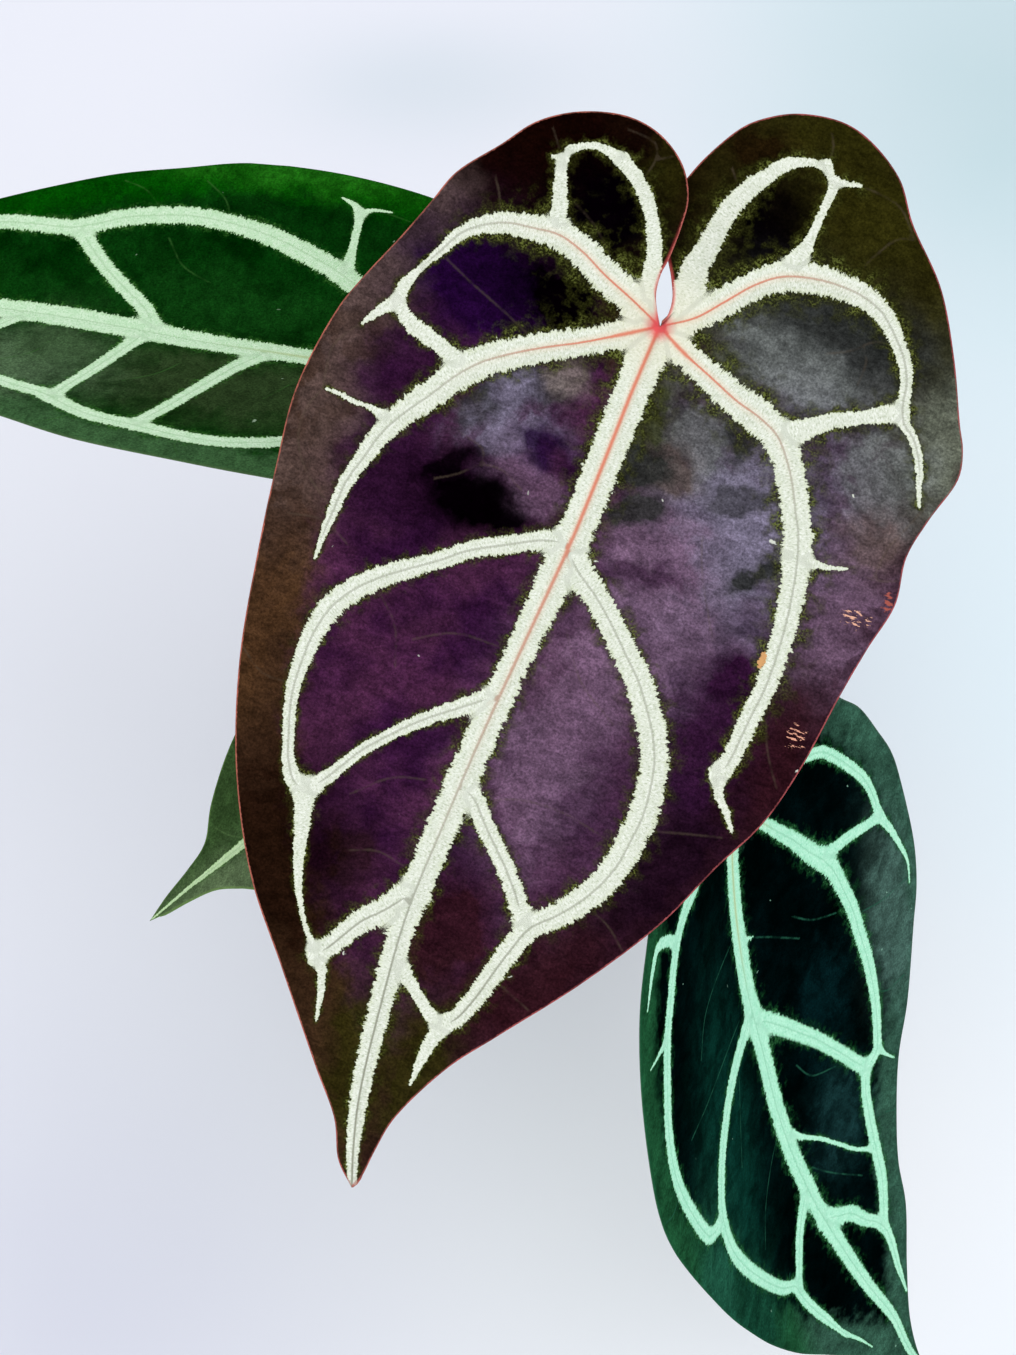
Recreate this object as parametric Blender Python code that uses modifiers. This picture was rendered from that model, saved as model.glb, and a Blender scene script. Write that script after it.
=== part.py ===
"""Potted anthurium: four heart-shaped leaves on their stalks, a short stem,
bark potting mix and a plain round pot.

Metres, +Z up. The origin is the centre of the pot's flat base. Lengths below
are in millimetres and become metres where a mesh or a curve is made.
"""
import math

import bmesh
import bpy
from mathutils import Vector, noise
from mathutils.geometry import delaunay_2d_cdt

MM = 0.001
GAP = 0.3
MERGE = 0.0001

# Pot
POT_HEIGHT = 106.0
POT_RIM_RADIUS = 58.0
POT_RIM_DEPTH = 13.0
POT_RIM_STEP = 2.2
POT_FOOT_RADIUS = 42.0
POT_WALL = 1.8
POT_BASE = 2.4
DRAIN_COUNT = 6
DRAIN_RADIUS = 4.0
DRAIN_CIRCLE = 27.3
DRAIN_TURN = 33.1
POT_SEGMENTS = 48

# Potting mix and stem
MIX_LEVEL = 93.0
MIX_RINGS = 9
MIX_SEGMENTS = 40
MIX_CHIP_SIZE = 9.0
MIX_CHIP_RISE = 3.2
STEM_RADIUS = 8.6
STEM_TOP_RADIUS = 10.8
STEM_FOOT = 60.0
STEM_TOP = 122.0
NODE_RINGS = 4
SOCKET_CIRCLE = 6.3
SOCKET_DEPTH = 9.0

# Leaf stalks
STALK_BASE_RADIUS = 2.8
STALK_RADIUS = 1.9
KNUCKLE_RADIUS = 2.5
KNUCKLE_LENGTH = 15.0

# Leaf blades
BLADE = 0.8
RIB = 2.3
RIB_REACH = 2.6
RIB_GROOVE = 0.9
GRID = 8.0
GRID_ROWS = 41
GRID_COLUMNS = 22
GRID_START = -55.0
EDGE_STEP = 6.0
FACING = Vector((-29.3, -263.7, 637.6))

# Each outline half runs from the stalk's point round its lobe to the tip, in
# the blade's own plane: first across (right positive), then towards the tip.
# A rib is its width and its line.
LEAVES = {
    "leaf_main": {
        "at": (1.0, -41.3, 326.6), "heading": -111.7, "decline": 24.5, "roll": -7.0,
        "length": 184.0, "arch": 0.0, "lobe": 0.0, "keel": 0.0, "twist": 0.0,
        "dish": 0.07, "droop": 0.045, "lap": 1.7, "wave": 1.1, "wavelength": 47.0,
        "colour": (0.030, 0.016, 0.028),
        "left": [
            (-2.8, -5.6), (-3.3, -10), (-2.8, -13), (-2.6, -20.6), (-3.2, -26), (-6.5, -31.8),
            (-12.8, -36.1), (-20, -37.4), (-29.4, -35.2), (-37, -30.5), (-42.2, -23.9),
            (-48.9, -15.6), (-51.7, -8.3), (-55, 0), (-59.4, 10), (-62.2, 17.8), (-64.8, 35.6),
            (-63.3, 52.2), (-61.1, 68.9), (-57.2, 91.1), (-50.6, 111.7), (-40.6, 131.1),
            (-28.3, 146.7), (-15, 163.3), (-8, 171.8), (-4.4, 179.4)],
        "right": [
            (0.8, -2.2), (0.6, -6.1), (-1.1, -10), (-3.4, -14), (-5.6, -20), (-6, -25.5),
            (-4.8, -29.7), (-2.6, -35), (2.2, -42.8), (6.1, -46.1), (11.7, -48.9), (20, -50.2),
            (26.1, -48.9), (35, -43.3), (40.6, -35.6), (50, -25.6), (57.2, -13.3), (62.8, -1.1),
            (65, 3.3), (66.1, 8.9), (63.3, 18.9), (61.7, 27), (62.8, 36.7), (60.6, 46.7),
            (58.7, 57), (56.1, 74.4), (52.8, 86.7), (47.2, 97.8), (40.6, 112.2), (29.4, 129.4),
            (17.2, 145), (10, 154.4), (3.3, 167.8), (1.9, 175), (1.1, 181)],
        "tip": (0, 183.7),
        "midrib": [
            (-0.8, 13.3), (-1.4, 30), (-2.2, 46.7), (-3.9, 65.6), (-5.8, 86.7), (-7.2, 107.8),
            (-8.1, 127.8), (-7, 145.6), (-4.8, 165.6), (-2.4, 176)],
        "ribs": [
            (3.0, [(0, 0), (-5.9, -13.3), (-11.7, -23.9), (-19.4, -29.2)]),
            (4.0, [(0, 0), (-13.9, -6.1), (-25, -10.6), (-36.1, -9.4), (-43.9, -4.4), (-46.7, 2.2)]),
            (2.4, [(-25.6, -11.7), (-28.9, -22.2), (-31, -27)]),
            (4.6, [(0, 0), (-13.9, 8.3), (-27.2, 15.6), (-35.6, 23.3), (-42.2, 32.8),
                   (-47.2, 44.4), (-49.4, 56.7), (-49.7, 66)]),
            (2.6, [(-33.3, 21.1), (-42.8, 17.2), (-51.7, 12.2)]),
            (3.8, [(-2.5, 47), (-15, 51.7), (-26.1, 58.9), (-36.1, 66.1), (-43.3, 75),
                   (-45.2, 86.7), (-43, 101.1), (-38.3, 110.6)]),
            (3.6, [(-38.3, 110.6), (-34.4, 115.6), (-32.8, 125.6), (-26.7, 137.8), (-21, 143)]),
            (3.3, [(-6, 80.6), (-16.1, 88.3), (-24.4, 96.1), (-30.6, 104.4), (-35, 110.6)]),
            (3.6, [(-8.3, 123.3), (-16.1, 132.2), (-22.8, 142.2)]),
            (4.4, [(0, 0), (2.8, -13.3), (5, -25.6), (9.4, -34.4), (17.2, -40.2), (28.9, -39.4)]),
            (4.6, [(0, 0), (10.6, -8.9), (19.4, -17.2), (30.6, -19.4), (40.6, -17.2),
                   (47.8, -10), (50.8, -1.1)]),
            (2.4, [(50.8, -1.1), (55, 4.4), (60.6, 16.7)]),
            (2.0, [(23.3, -38.3), (22.6, -28.9), (21.1, -21.1)]),
            (5.0, [(0, 0), (12.8, 6.1), (25, 10.6), (32.8, 16.7), (37.8, 25.6), (41.7, 35.6),
                   (43.7, 47.8), (44.1, 61.1), (42.8, 73.3), (41.1, 80.6)]),
            (3.0, [(29.4, 12.8), (38.3, 6.7), (47.2, 2.2), (50.6, 0.6)]),
            (4.6, [(-2, 48), (6.1, 55), (15.6, 63.9), (23.3, 72.8), (28.3, 82.2), (29.8, 93.3),
                   (28.3, 104.4), (23.3, 114.4), (16.1, 122.2)]),
            (3.6, [(16.1, 122.2), (12.2, 133.3), (8.3, 144.4), (5, 155)]),
            (3.3, [(-6.8, 100), (3.9, 108.9), (13.9, 120.6)]),
            (2.4, [(-7.7, 138), (-2.2, 141.1), (5, 146.7)])],
    },
    "leaf_left": {
        "at": (-47.5, -13.9, 267.2), "heading": 168.6, "decline": -3.3, "roll": 21.0,
        "length": 173.5, "arch": 0.078, "lobe": 0.08, "keel": 0.24, "twist": -0.081,
        "dish": 0.0, "droop": 0.0, "lap": 0.0, "wave": 0.9, "wavelength": 52.0,
        "colour": (0.010, 0.060, 0.018),
        "left": [
            (-2, -9), (-4, -20), (-7, -30), (-12, -37), (-20, -40), (-29, -38), (-38, -31),
            (-46, -21), (-52, -10), (-56, 2), (-58.5, 13), (-60, 28), (-60, 42), (-58, 60),
            (-53, 75), (-48, 90), (-41, 105), (-31, 124), (-20, 142), (-10, 157), (-3.5, 167)],
        "right": [
            (2, -9), (3, -20), (6, -30), (11, -37), (18, -41), (27, -40), (36, -35), (45, -26),
            (52, -15), (57, -3), (60, 10), (60.3, 28), (59, 45), (56, 67), (50, 85), (41, 108),
            (28, 132), (14, 153), (5, 166)],
        "tip": (0, 174),
        "midrib": [(0, 15), (0.8, 35), (1.4, 55), (0.3, 75), (-0.5, 95), (-0.3, 125), (0, 155)],
        "ribs": [
            (4.2, [(0, 0), (-12, 7.5), (-22, 18), (-32, 37), (-37, 53), (-38, 69), (-34.5, 84),
                   (-29, 96), (-28, 113), (-20, 133), (-9, 150)]),
            (3.2, [(-1.4, 67), (-12, 77), (-22, 88), (-29, 94)]),
            (2.6, [(-28, 28), (-40, 28), (-50, 28.5)]),
            (3.2, [(-0.5, 107), (-12, 122), (-21, 132)]),
            (3.8, [(0, 0), (15, 4), (34, 15), (46, 30), (48.3, 45), (45, 66), (37, 81), (31, 100),
                   (20, 124), (9, 142)]),
            (3.4, [(1.2, 40), (18, 47), (36, 53), (46, 57)]),
            (3.2, [(0.6, 69), (18, 73), (38, 78)]),
            (3.0, [(-0.4, 98), (12, 105), (27, 110)]),
            (3.8, [(0, 0), (-14, -6), (-27, -10), (-38, -7), (-46, 4), (-49, 18)]),
            (3.2, [(0, 0), (-6, -14), (-12, -24), (-20, -30)]),
            (3.8, [(0, 0), (14, -7), (27, -12), (39, -9), (47, 2), (50, 14)]),
            (3.2, [(0, 0), (5, -14), (10, -25), (18, -31)])],
    },
    "leaf_right": {
        "at": (22.9, -107.3, 228.3), "heading": -78.0, "decline": 52.0, "roll": -49.0,
        "length": 182.0, "arch": -0.06, "lobe": 0.08, "keel": 0.186, "twist": 0.04,
        "dish": 0.0, "droop": 0.0, "lap": 0.0, "wave": 1.0, "wavelength": 58.0,
        "colour": (0.006, 0.030, 0.022),
        "left": [
            (-2, -8), (-5, -20), (-10, -30), (-18, -36), (-28, -35), (-40, -27), (-50, -17),
            (-59, -6), (-67, 5), (-71.5, 22), (-72, 50), (-70, 62), (-66, 73), (-60, 85),
            (-50, 103), (-40, 120), (-30, 135), (-20, 149), (-5, 167), (8, 179.5), (20, 190.5),
            (32, 202), (40, 211)],
        "right": [
            (1, -6), (3, -16), (6, -26), (12, -33), (20, -36), (30, -32), (38, -22), (45, -9),
            (55, 0), (62, 10), (68, 20), (71, 30), (74.8, 52), (74, 65), (71, 75), (64, 97),
            (57, 111), (52, 130), (50, 143), (50, 158), (45.5, 178), (42.5, 195), (43, 209)],
        "tip": (46, 220),
        "midrib": [
            (-2.5, 12), (-3.5, 28), (-2, 50), (1.5, 70), (4, 90), (7.5, 108), (13.5, 130),
            (20.5, 150), (28, 170), (36, 189), (39.5, 204)],
        "ribs": [
            (4.0, [(0, 0), (-14, -2), (-28, 2), (-42, 6), (-50, 16), (-56, 27), (-60, 42),
                   (-59.5, 58), (-53, 75), (-46, 87), (-37, 91)]),
            (2.4, [(-44, 7), (-50, 1), (-58, 0), (-64, 8)]),
            (4.0, [(-0.6, 58), (-17, 64), (-29, 74), (-36, 88), (-34, 103), (-25, 119), (-14, 134),
                   (-1, 148), (5, 160), (13, 174), (25, 191)]),
            (3.2, [(11.5, 124), (4.5, 137), (1, 149)]),
            (4.4, [(0, 0), (12, 10), (24, 22), (39, 40), (45, 55), (49, 73), (50, 92), (46, 104)]),
            (3.8, [(1, 63), (17, 76), (30, 90), (42, 105)]),
            (3.6, [(42, 105), (41, 122), (42, 142), (40, 155)]),
            (3.4, [(17, 138), (27, 144), (37, 155), (41.5, 168), (42.5, 182)]),
            (3.2, [(0, 0), (12, -4), (32, 2), (44, 9), (55, 21), (60, 33)]),
            (2.8, [(35, 33), (48, 34), (60, 35), (66, 43)]),
            (3.0, [(0, 0), (-10, -12), (-20, -18), (-32, -18), (-42, -12)])],
    },
    "leaf_small": {
        "at": (-24.1, -66.3, 252.7), "heading": 213.2, "decline": 19.2, "roll": 25.5,
        "length": 117.0, "arch": 0.044, "lobe": 0.08, "keel": 0.156, "twist": 0.031,
        "dish": 0.0, "droop": 0.0, "lap": 0.0, "wave": 0.6, "wavelength": 34.0,
        "colour": (0.020, 0.110, 0.030),
        "left": [
            (-1.5, -7), (-4, -14), (-8, -20), (-16, -24), (-25, -20), (-33, -10), (-38, 5),
            (-40, 20), (-40, 38), (-37.5, 55), (-32, 70), (-26, 80), (-16, 90.5), (-7.5, 96.5),
            (-4.8, 103), (-2.6, 111)],
        "right": [
            (1.5, -7), (4, -14), (9, -20), (17, -23), (25, -19), (33, -9), (38, 5), (39.5, 20),
            (38.5, 38), (35, 55), (29, 71), (22, 84), (13, 92), (7, 98.5), (3.8, 106),
            (2, 112)],
        "tip": (0, 117),
        "midrib": [(0.3, 20), (0.6, 45), (1, 70), (1, 90), (0.2, 105)],
        "ribs": [
            (2.6, [(0, 0), (-12, 4), (-22, 14), (-28, 28), (-29, 44), (-24, 62), (-14, 78)]),
            (2.6, [(0, 0), (12, 4), (22, 14), (28, 28), (28, 44), (23, 62), (13, 80)]),
            (2.2, [(0.6, 34), (-12, 42), (-27, 52)]),
            (2.2, [(0.6, 36), (12, 44), (26, 52)]),
            (2.2, [(0, 0), (-9, -7), (-18, -10), (-27, -4), (-32, 8)]),
            (2.2, [(0, 0), (9, -7), (18, -10), (27, -4), (32, 8)])],
    },
}

# Stalk: its bearing round the stem, and the points it bends through on its
# way to the blade.
STALKS = {
    "petiole_main": {"leaf": "leaf_main", "bearing": 62.0,
                     "through": [(5, 6, 165), (8, -8, 235)]},
    "petiole_left": {"leaf": "leaf_left", "bearing": 162.0,
                     "through": [(-12, 0, 160), (-26, -8, 212)]},
    "petiole_right": {"leaf": "leaf_right", "bearing": 318.0,
                      "through": [(6, -22, 160), (8, -66, 206)]},
    "petiole_small": {"leaf": "leaf_small", "bearing": 240.0,
                      "through": [(-9, -17, 160), (-17, -34, 203)]},
}

# Aerial roots: bearing, height where they leave the stem, length, droop
ROOTS = [(20, 104, 11, 1.5), (95, 103, 13, 1.0), (150, 106, 9, 2.0), (205, 103, 12, 1.5),
         (275, 106, 13, 4.0), (335, 103, 10, 1.0)]
ROOT_RADIUS = 1.9

# Dry sheaths: bearing, half of the arc they cover and height
SHEATHS = {"cataphyll_back": (108.0, 40.0, 40.0), "cataphyll_side": (12.0, 34.0, 31.0)}
SHEATH_WALL = 0.7
SHEATH_FOOT = 109.5

COLLECTION = "potted_anthurium"


def clear_scene():
    for item in list(bpy.data.objects):
        bpy.data.objects.remove(item, do_unlink=True)


def collection(name):
    made = bpy.data.collections.new(name)
    bpy.context.scene.collection.children.link(made)
    return made


def material(name, colour, roughness=0.6, metallic=0.0):
    made = bpy.data.materials.new(name)
    made.use_nodes = True
    shader = made.node_tree.nodes["Principled BSDF"]
    shader.inputs["Base Color"].default_value = (*colour, 1.0)
    shader.inputs["Roughness"].default_value = roughness
    shader.inputs["Metallic"].default_value = metallic
    return made


def place(name, data, home, look=None):
    made = bpy.data.objects.new(name, data)
    home.objects.link(made)
    if look:
        data.materials.append(look)
    return made


def evaluated_mesh(item, name):
    """The mesh of an object with its modifiers or its bevel, closed and joined."""
    graph = bpy.context.evaluated_depsgraph_get()
    mesh = bpy.data.meshes.new_from_object(item.evaluated_get(graph))
    mesh.name = name
    shape = bmesh.new()
    shape.from_mesh(mesh)
    bmesh.ops.remove_doubles(shape, verts=shape.verts, dist=MERGE)
    bmesh.ops.recalc_face_normals(shape, faces=shape.faces)
    shape.to_mesh(mesh)
    shape.free()
    return mesh


def solidified_copy(item, name, home, look=None):
    mesh = evaluated_mesh(item, name)
    mesh.materials.clear()
    spot = item.matrix_world.copy()
    bpy.data.objects.remove(item, do_unlink=True)
    made = place(name, mesh, home, look)
    made.matrix_world = spot
    return made


def guide(item):
    item.hide_render = True
    item.display_type = "WIRE"
    return item


def turned(name, profile, segments, home, look=None):
    """A profile of (radius, height) pairs turned once round the Z axis."""
    mesh = bpy.data.meshes.new(name)
    points = [(radius * MM, 0.0, height * MM) for radius, height in profile]
    mesh.from_pydata(points, [(i, i + 1) for i in range(len(points) - 1)], [])
    item = place(name, mesh, home, look)
    screw = item.modifiers.new("turn", "SCREW")
    screw.steps = segments
    screw.render_steps = segments
    screw.use_merge_vertices = True
    screw.merge_threshold = MERGE
    return item


def tube(name, points, radii, home, look=None, sides=2):
    """A bent round rod through points, in millimetres, with a radius at each."""
    curve = bpy.data.curves.new(name, "CURVE")
    curve.dimensions = "3D"
    curve.bevel_depth = MM
    curve.bevel_resolution = sides
    curve.use_fill_caps = True
    curve.resolution_u = 1
    curve.render_resolution_u = 0
    line = curve.splines.new("POLY")
    line.points.add(len(points) - 1)
    for spot, point, radius in zip(line.points, points, radii):
        spot.co = (*(Vector(point) * MM), 1.0)
        spot.radius = radius
    return place(name, curve, home, look)


def boolean(item, operation, operand):
    cut = item.modifiers.new(operation.lower(), "BOOLEAN")
    cut.operation = operation
    cut.solver = "EXACT"
    if isinstance(operand, bpy.types.Collection):
        cut.operand_type = "COLLECTION"
        cut.collection = operand
    else:
        cut.object = operand


def smooth_line(points, parts=8):
    """A rounded line through points of any dimension (centripetal spline)."""
    points = [Vector(p) for p in points]
    ends = [2 * points[0] - points[1]] + points + [2 * points[-1] - points[-2]]
    line = []
    for a, b, c, d in zip(ends, ends[1:], ends[2:], ends[3:]):
        t1 = math.sqrt((b - a).length) or 1.0
        t2 = t1 + (math.sqrt((c - b).length) or 1.0)
        t3 = t2 + (math.sqrt((d - c).length) or 1.0)
        for k in range(parts):
            t = t1 + (t2 - t1) * k / parts
            ab = a.lerp(b, t / t1)
            bc = b.lerp(c, (t - t1) / (t2 - t1))
            cd = c.lerp(d, (t - t2) / (t3 - t2))
            line.append(ab.lerp(bc, t / t2).lerp(bc.lerp(cd, (t - t1) / (t3 - t1)), (t - t1) / (t2 - t1)))
    return line + [points[-1]]


def even_steps(line, step):
    """The same line with points about a step apart; step may depend on place."""
    kept = [line[0]]
    travelled = 0.0
    for a, b in zip(line, line[1:]):
        travelled += (b - a).length
        wanted = step(b) if callable(step) else step
        if travelled >= wanted:
            kept.append(b)
            travelled = 0.0
    if (kept[-1] - line[-1]).length < 0.4 * (step(line[-1]) if callable(step) else step):
        kept.pop()
    return kept + [line[-1]]


def distance_to(lines, point):
    """The distance to the nearest of some lines, and that line's width."""
    best, width = 1e9, 0.0
    for line_width, line in lines:
        for a, b in zip(line, line[1:]):
            run = b - a
            share = max(0.0, min(1.0, (point - a).dot(run) / run.length_squared))
            away = (point - a - run * share).length
            if away < best:
                best, width = away, line_width
    return best, width


def axes_of(leaf):
    """The blade's directions: across, towards the tip, and out of its top."""
    heading, decline, roll = (math.radians(leaf[k]) for k in ("heading", "decline", "roll"))
    flat = Vector((math.cos(heading), math.sin(heading), 0.0))
    along = flat * math.cos(decline) - Vector((0, 0, math.sin(decline)))
    level_out = flat * math.sin(decline) + Vector((0, 0, math.cos(decline)))
    level_across = level_out.cross(along)
    across = level_across * math.cos(roll) + level_out * math.sin(roll)
    out = level_out * math.cos(roll) - level_across * math.sin(roll)
    return across, along, out


def blade_point(leaf, side, spot, edge, rib):
    """A point of the blade's top: plane, bend, then waves and rib grooves."""
    u, v = spot
    across, along, out = axes_of(leaf)
    s = v / leaf["length"]
    bend = leaf["arch"] if s > 0 else leaf["lobe"]
    lift = -bend * leaf["length"] * s * s + leaf["twist"] * u * s
    lift += leaf["keel"] * (math.hypot(u, 8.0) - 8.0)
    point = Vector(leaf["at"]) + across * u + along * v + out * lift
    relief = leaf["dish"] * (math.hypot(u, 12.0) - 12.0) - leaf["droop"] * leaf["length"] * s * s
    turn = 2 * math.pi * (v + 9.0 * side) / leaf["wavelength"]
    relief += leaf["wave"] * math.exp(-edge / 11.0) * math.sin(turn)
    relief -= RIB_GROOVE * rib
    if leaf["lap"] and v < -8.0:
        fade = min(1.0, (-8.0 - v) / 6.0) * math.exp(-((u + 4.0) / 9.0) ** 2)
        relief += leaf["lap"] * fade * (1.0 if side < 0 else -0.75)
    return point + (FACING - point).normalized() * relief


def half_blade(leaf, side, midrib, outline, ribs):
    """One half's flat triangles: its points, its faces and its midrib points."""
    points = outline + midrib[1:-1][::-1]
    edges = [(i, (i + 1) % len(points)) for i in range(len(points))]
    borders = [(0.0, outline), (0.0, midrib)]
    for width, line in ribs:
        middle = line[len(line) // 2]
        if (middle.x - leaf_middle(midrib, middle.y)) * side < 0:
            continue
        first = min(midrib, key=lambda p: (p - line[0]).length)
        line = [first] + [p for p in line[1:] if distance_to(borders, p)[0] > 2.2]
        if (line[0] - line[1]).length > 14.0:
            line = line[1:]
        numbers = []
        for point in line:
            near = [i for i, other in enumerate(points) if (other - point).length < 2.4]
            if near:
                numbers.append(near[0])
            else:
                points.append(point)
                numbers.append(len(points) - 1)
        edges += [(a, b) for a, b in zip(numbers, numbers[1:]) if a != b]
        borders.append((width, [points[i] for i in numbers]))
    rim = points[:len(outline) + len(midrib) - 2]
    for row in range(GRID_ROWS):
        for column in range(GRID_COLUMNS):
            across = (column - GRID_COLUMNS / 2 + 0.5 * (row % 2)) * GRID
            spot = Vector((across, GRID_START + row * GRID * 0.866))
            if distance_to(borders, spot)[0] > 0.55 * GRID and inside(rim, spot):
                points.append(spot)
    flat = delaunay_2d_cdt(points, edges, [], 1, 1e-5)
    return flat[0], flat[2]


def leaf_middle(midrib, v):
    return min(midrib, key=lambda p: abs(p.y - v)).x if v > 0 else 0.0


def inside(loop, spot):
    hit = False
    for a, b in zip(loop, loop[1:] + loop[:1]):
        if (a.y > spot.y) != (b.y > spot.y):
            if spot.x < a.x + (b.x - a.x) * (spot.y - a.y) / (b.y - a.y):
                hit = not hit
    return hit


def fine_near_stalk(point):
    return min(EDGE_STEP, 2.4 + 0.05 * point.length)


def leaf_blade(name, leaf, home):
    """A blade as one sheet of triangles with thickness, thicker along its ribs."""
    start, tip = Vector((0, 0)), Vector(leaf["tip"])
    midrib = even_steps(smooth_line([start] + leaf["midrib"] + [tip]), EDGE_STEP)
    ribs = [(width, even_steps(smooth_line(line), EDGE_STEP)) for width, line in leaf["ribs"]]
    outlines = {side: even_steps(smooth_line([start] + leaf[key] + [tip]), fine_near_stalk)
                for side, key in ((-1, "left"), (1, "right"))}
    margins = [(0.0, line) for line in outlines.values()]
    rib_lines = [(5.5, midrib)] + ribs
    mesh_points, weights, triangles, shared = [], [], [], {}
    for side, outline in outlines.items():
        points, faces = half_blade(leaf, side, midrib, outline, ribs)
        numbers = []
        for point in points:
            on_midrib = min((point - other).length for other in midrib) < 0.01
            key = (round(point.x, 2), round(point.y, 2))
            if on_midrib and key in shared:
                numbers.append(shared[key])
                continue
            away, width = distance_to(rib_lines, point)
            rib = math.exp(-(away / RIB_REACH) ** 2) * width / 5.5
            edge = distance_to(margins, point)[0]
            rib *= min(1.0, edge / 5.0)
            mesh_points.append(blade_point(leaf, side, point, edge, rib) * MM)
            weights.append(rib)
            numbers.append(len(mesh_points) - 1)
            if on_midrib:
                shared[key] = numbers[-1]
        triangles += [tuple(numbers[i] for i in reversed(face)) for face in faces]
    mesh = bpy.data.meshes.new(name)
    mesh.from_pydata(mesh_points, [], triangles)
    mesh.shade_smooth()
    item = place(name, mesh, home, material(name, leaf["colour"], 0.55))
    group = item.vertex_groups.new(name="rib")
    for number, weight in enumerate(weights):
        group.add([number], weight, "REPLACE")
    thick = item.modifiers.new("thickness", "SOLIDIFY")
    thick.thickness = RIB * MM
    thick.offset = -1.0
    thick.vertex_group = "rib"
    thick.thickness_vertex_group = BLADE / RIB
    return item


def stalk_line(stalk):
    """Points and radii from the stem's socket to just under the blade."""
    leaf = LEAVES[stalk["leaf"]]
    across, along, out = axes_of(leaf)
    bearing = math.radians(stalk["bearing"])
    foot = Vector((math.cos(bearing) * SOCKET_CIRCLE, math.sin(bearing) * SOCKET_CIRCLE, STEM_TOP))
    end = Vector(leaf["at"]) + along * 3.0 - out * (RIB + RIB_GROOVE + GAP + 0.4)
    arriving = (end - Vector(stalk["through"][-1])).normalized()
    neck = end - (out * 0.65 + arriving * 0.35) * KNUCKLE_LENGTH
    first = Vector(stalk["through"][0])
    sunk = foot - (first - foot).normalized() * SOCKET_DEPTH
    line = smooth_line([sunk, foot, *map(Vector, stalk["through"]), neck, end], 12)
    line = even_steps(line, lambda point: 3.6 if (point - end).length < 2 * KNUCKLE_LENGTH else 9.0)
    length = sum((b - a).length for a, b in zip(line, line[1:]))
    radii, travelled = [], 0.0
    for number, point in enumerate(line):
        if number:
            travelled += (point - line[number - 1]).length
        left = length - travelled
        radius = STALK_RADIUS + (STALK_BASE_RADIUS - STALK_RADIUS) * math.exp(-(travelled / 26.0) ** 2)
        radius += (KNUCKLE_RADIUS - STALK_RADIUS) * math.exp(-((left - 7.0) / 7.0) ** 2)
        radii.append(radius)
    return line, radii


def leaf_stalk(name, stalk, home, cutters):
    line, radii = stalk_line(stalk)
    look = material(name, (0.16, 0.15, 0.05), 0.5)
    item = solidified_copy(tube(name, line, radii, home), name, home, look)
    item.data.shade_smooth()
    deep = [line[0] - (line[1] - line[0]).normalized() * GAP] + line[1:3]
    socket = tube(name + "_socket", deep, [r + GAP for r in radii[:3]], cutters)
    return item, guide(solidified_copy(socket, name + "_socket", cutters))


def pot(home, cutters):
    wall_foot = POT_FOOT_RADIUS
    under_rim = POT_RIM_RADIUS - POT_RIM_STEP
    rim_foot = POT_HEIGHT - POT_RIM_DEPTH
    profile = [
        (0, POT_BASE), (wall_foot - POT_WALL - 1.5, POT_BASE), (wall_foot - POT_WALL, POT_BASE + 1.5),
        (under_rim - POT_WALL, rim_foot), (POT_RIM_RADIUS - POT_WALL - 0.6, POT_HEIGHT - 1.0),
        (POT_RIM_RADIUS - POT_WALL, POT_HEIGHT), (POT_RIM_RADIUS - 0.5, POT_HEIGHT),
        (POT_RIM_RADIUS, POT_HEIGHT - 0.8), (POT_RIM_RADIUS - 0.6, rim_foot + 0.6),
        (POT_RIM_RADIUS - 1.0, rim_foot), (under_rim, rim_foot), (wall_foot + 0.6, 3.0),
        (wall_foot - 1.0, 0.0), (0, 0)]
    body = turned("pot_blank", profile[::-1], POT_SEGMENTS, home)
    item = solidified_copy(body, "pot", home, material("pot", (0.035, 0.035, 0.038), 0.5))
    for number in range(DRAIN_COUNT):
        angle = math.radians(DRAIN_TURN + 360.0 * number / DRAIN_COUNT)
        bpy.ops.mesh.primitive_cylinder_add(vertices=12, radius=DRAIN_RADIUS * MM, depth=4 * POT_BASE * MM)
        hole = bpy.context.active_object
        hole.name = f"drain_{number}"
        hole.location = (math.cos(angle) * DRAIN_CIRCLE * MM, math.sin(angle) * DRAIN_CIRCLE * MM, 0.0)
        for owner in list(hole.users_collection):
            owner.objects.unlink(hole)
        cutters.objects.link(guide(hole))
        boolean(item, "DIFFERENCE", hole)
    item.data.shade_smooth()
    item.data.set_sharp_from_angle(angle=math.radians(35))
    return item


def chip_rise(x, y):
    """The height of the bark on top: tilted chips with steps between them."""
    spot = Vector((x / MIX_CHIP_SIZE, y / MIX_CHIP_SIZE, 3.7))
    distances, cells = noise.voronoi(spot)
    tilt = (spot - cells[0]).dot(Vector((math.sin(cells[0].x * 9.1), math.cos(cells[0].y * 7.3), 0)))
    seam = 1.2 * math.exp(-4.0 * distances[1])
    return MIX_CHIP_RISE * (0.55 * noise.cell(cells[0] * 3.1) + 0.8 * tilt) - seam


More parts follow.
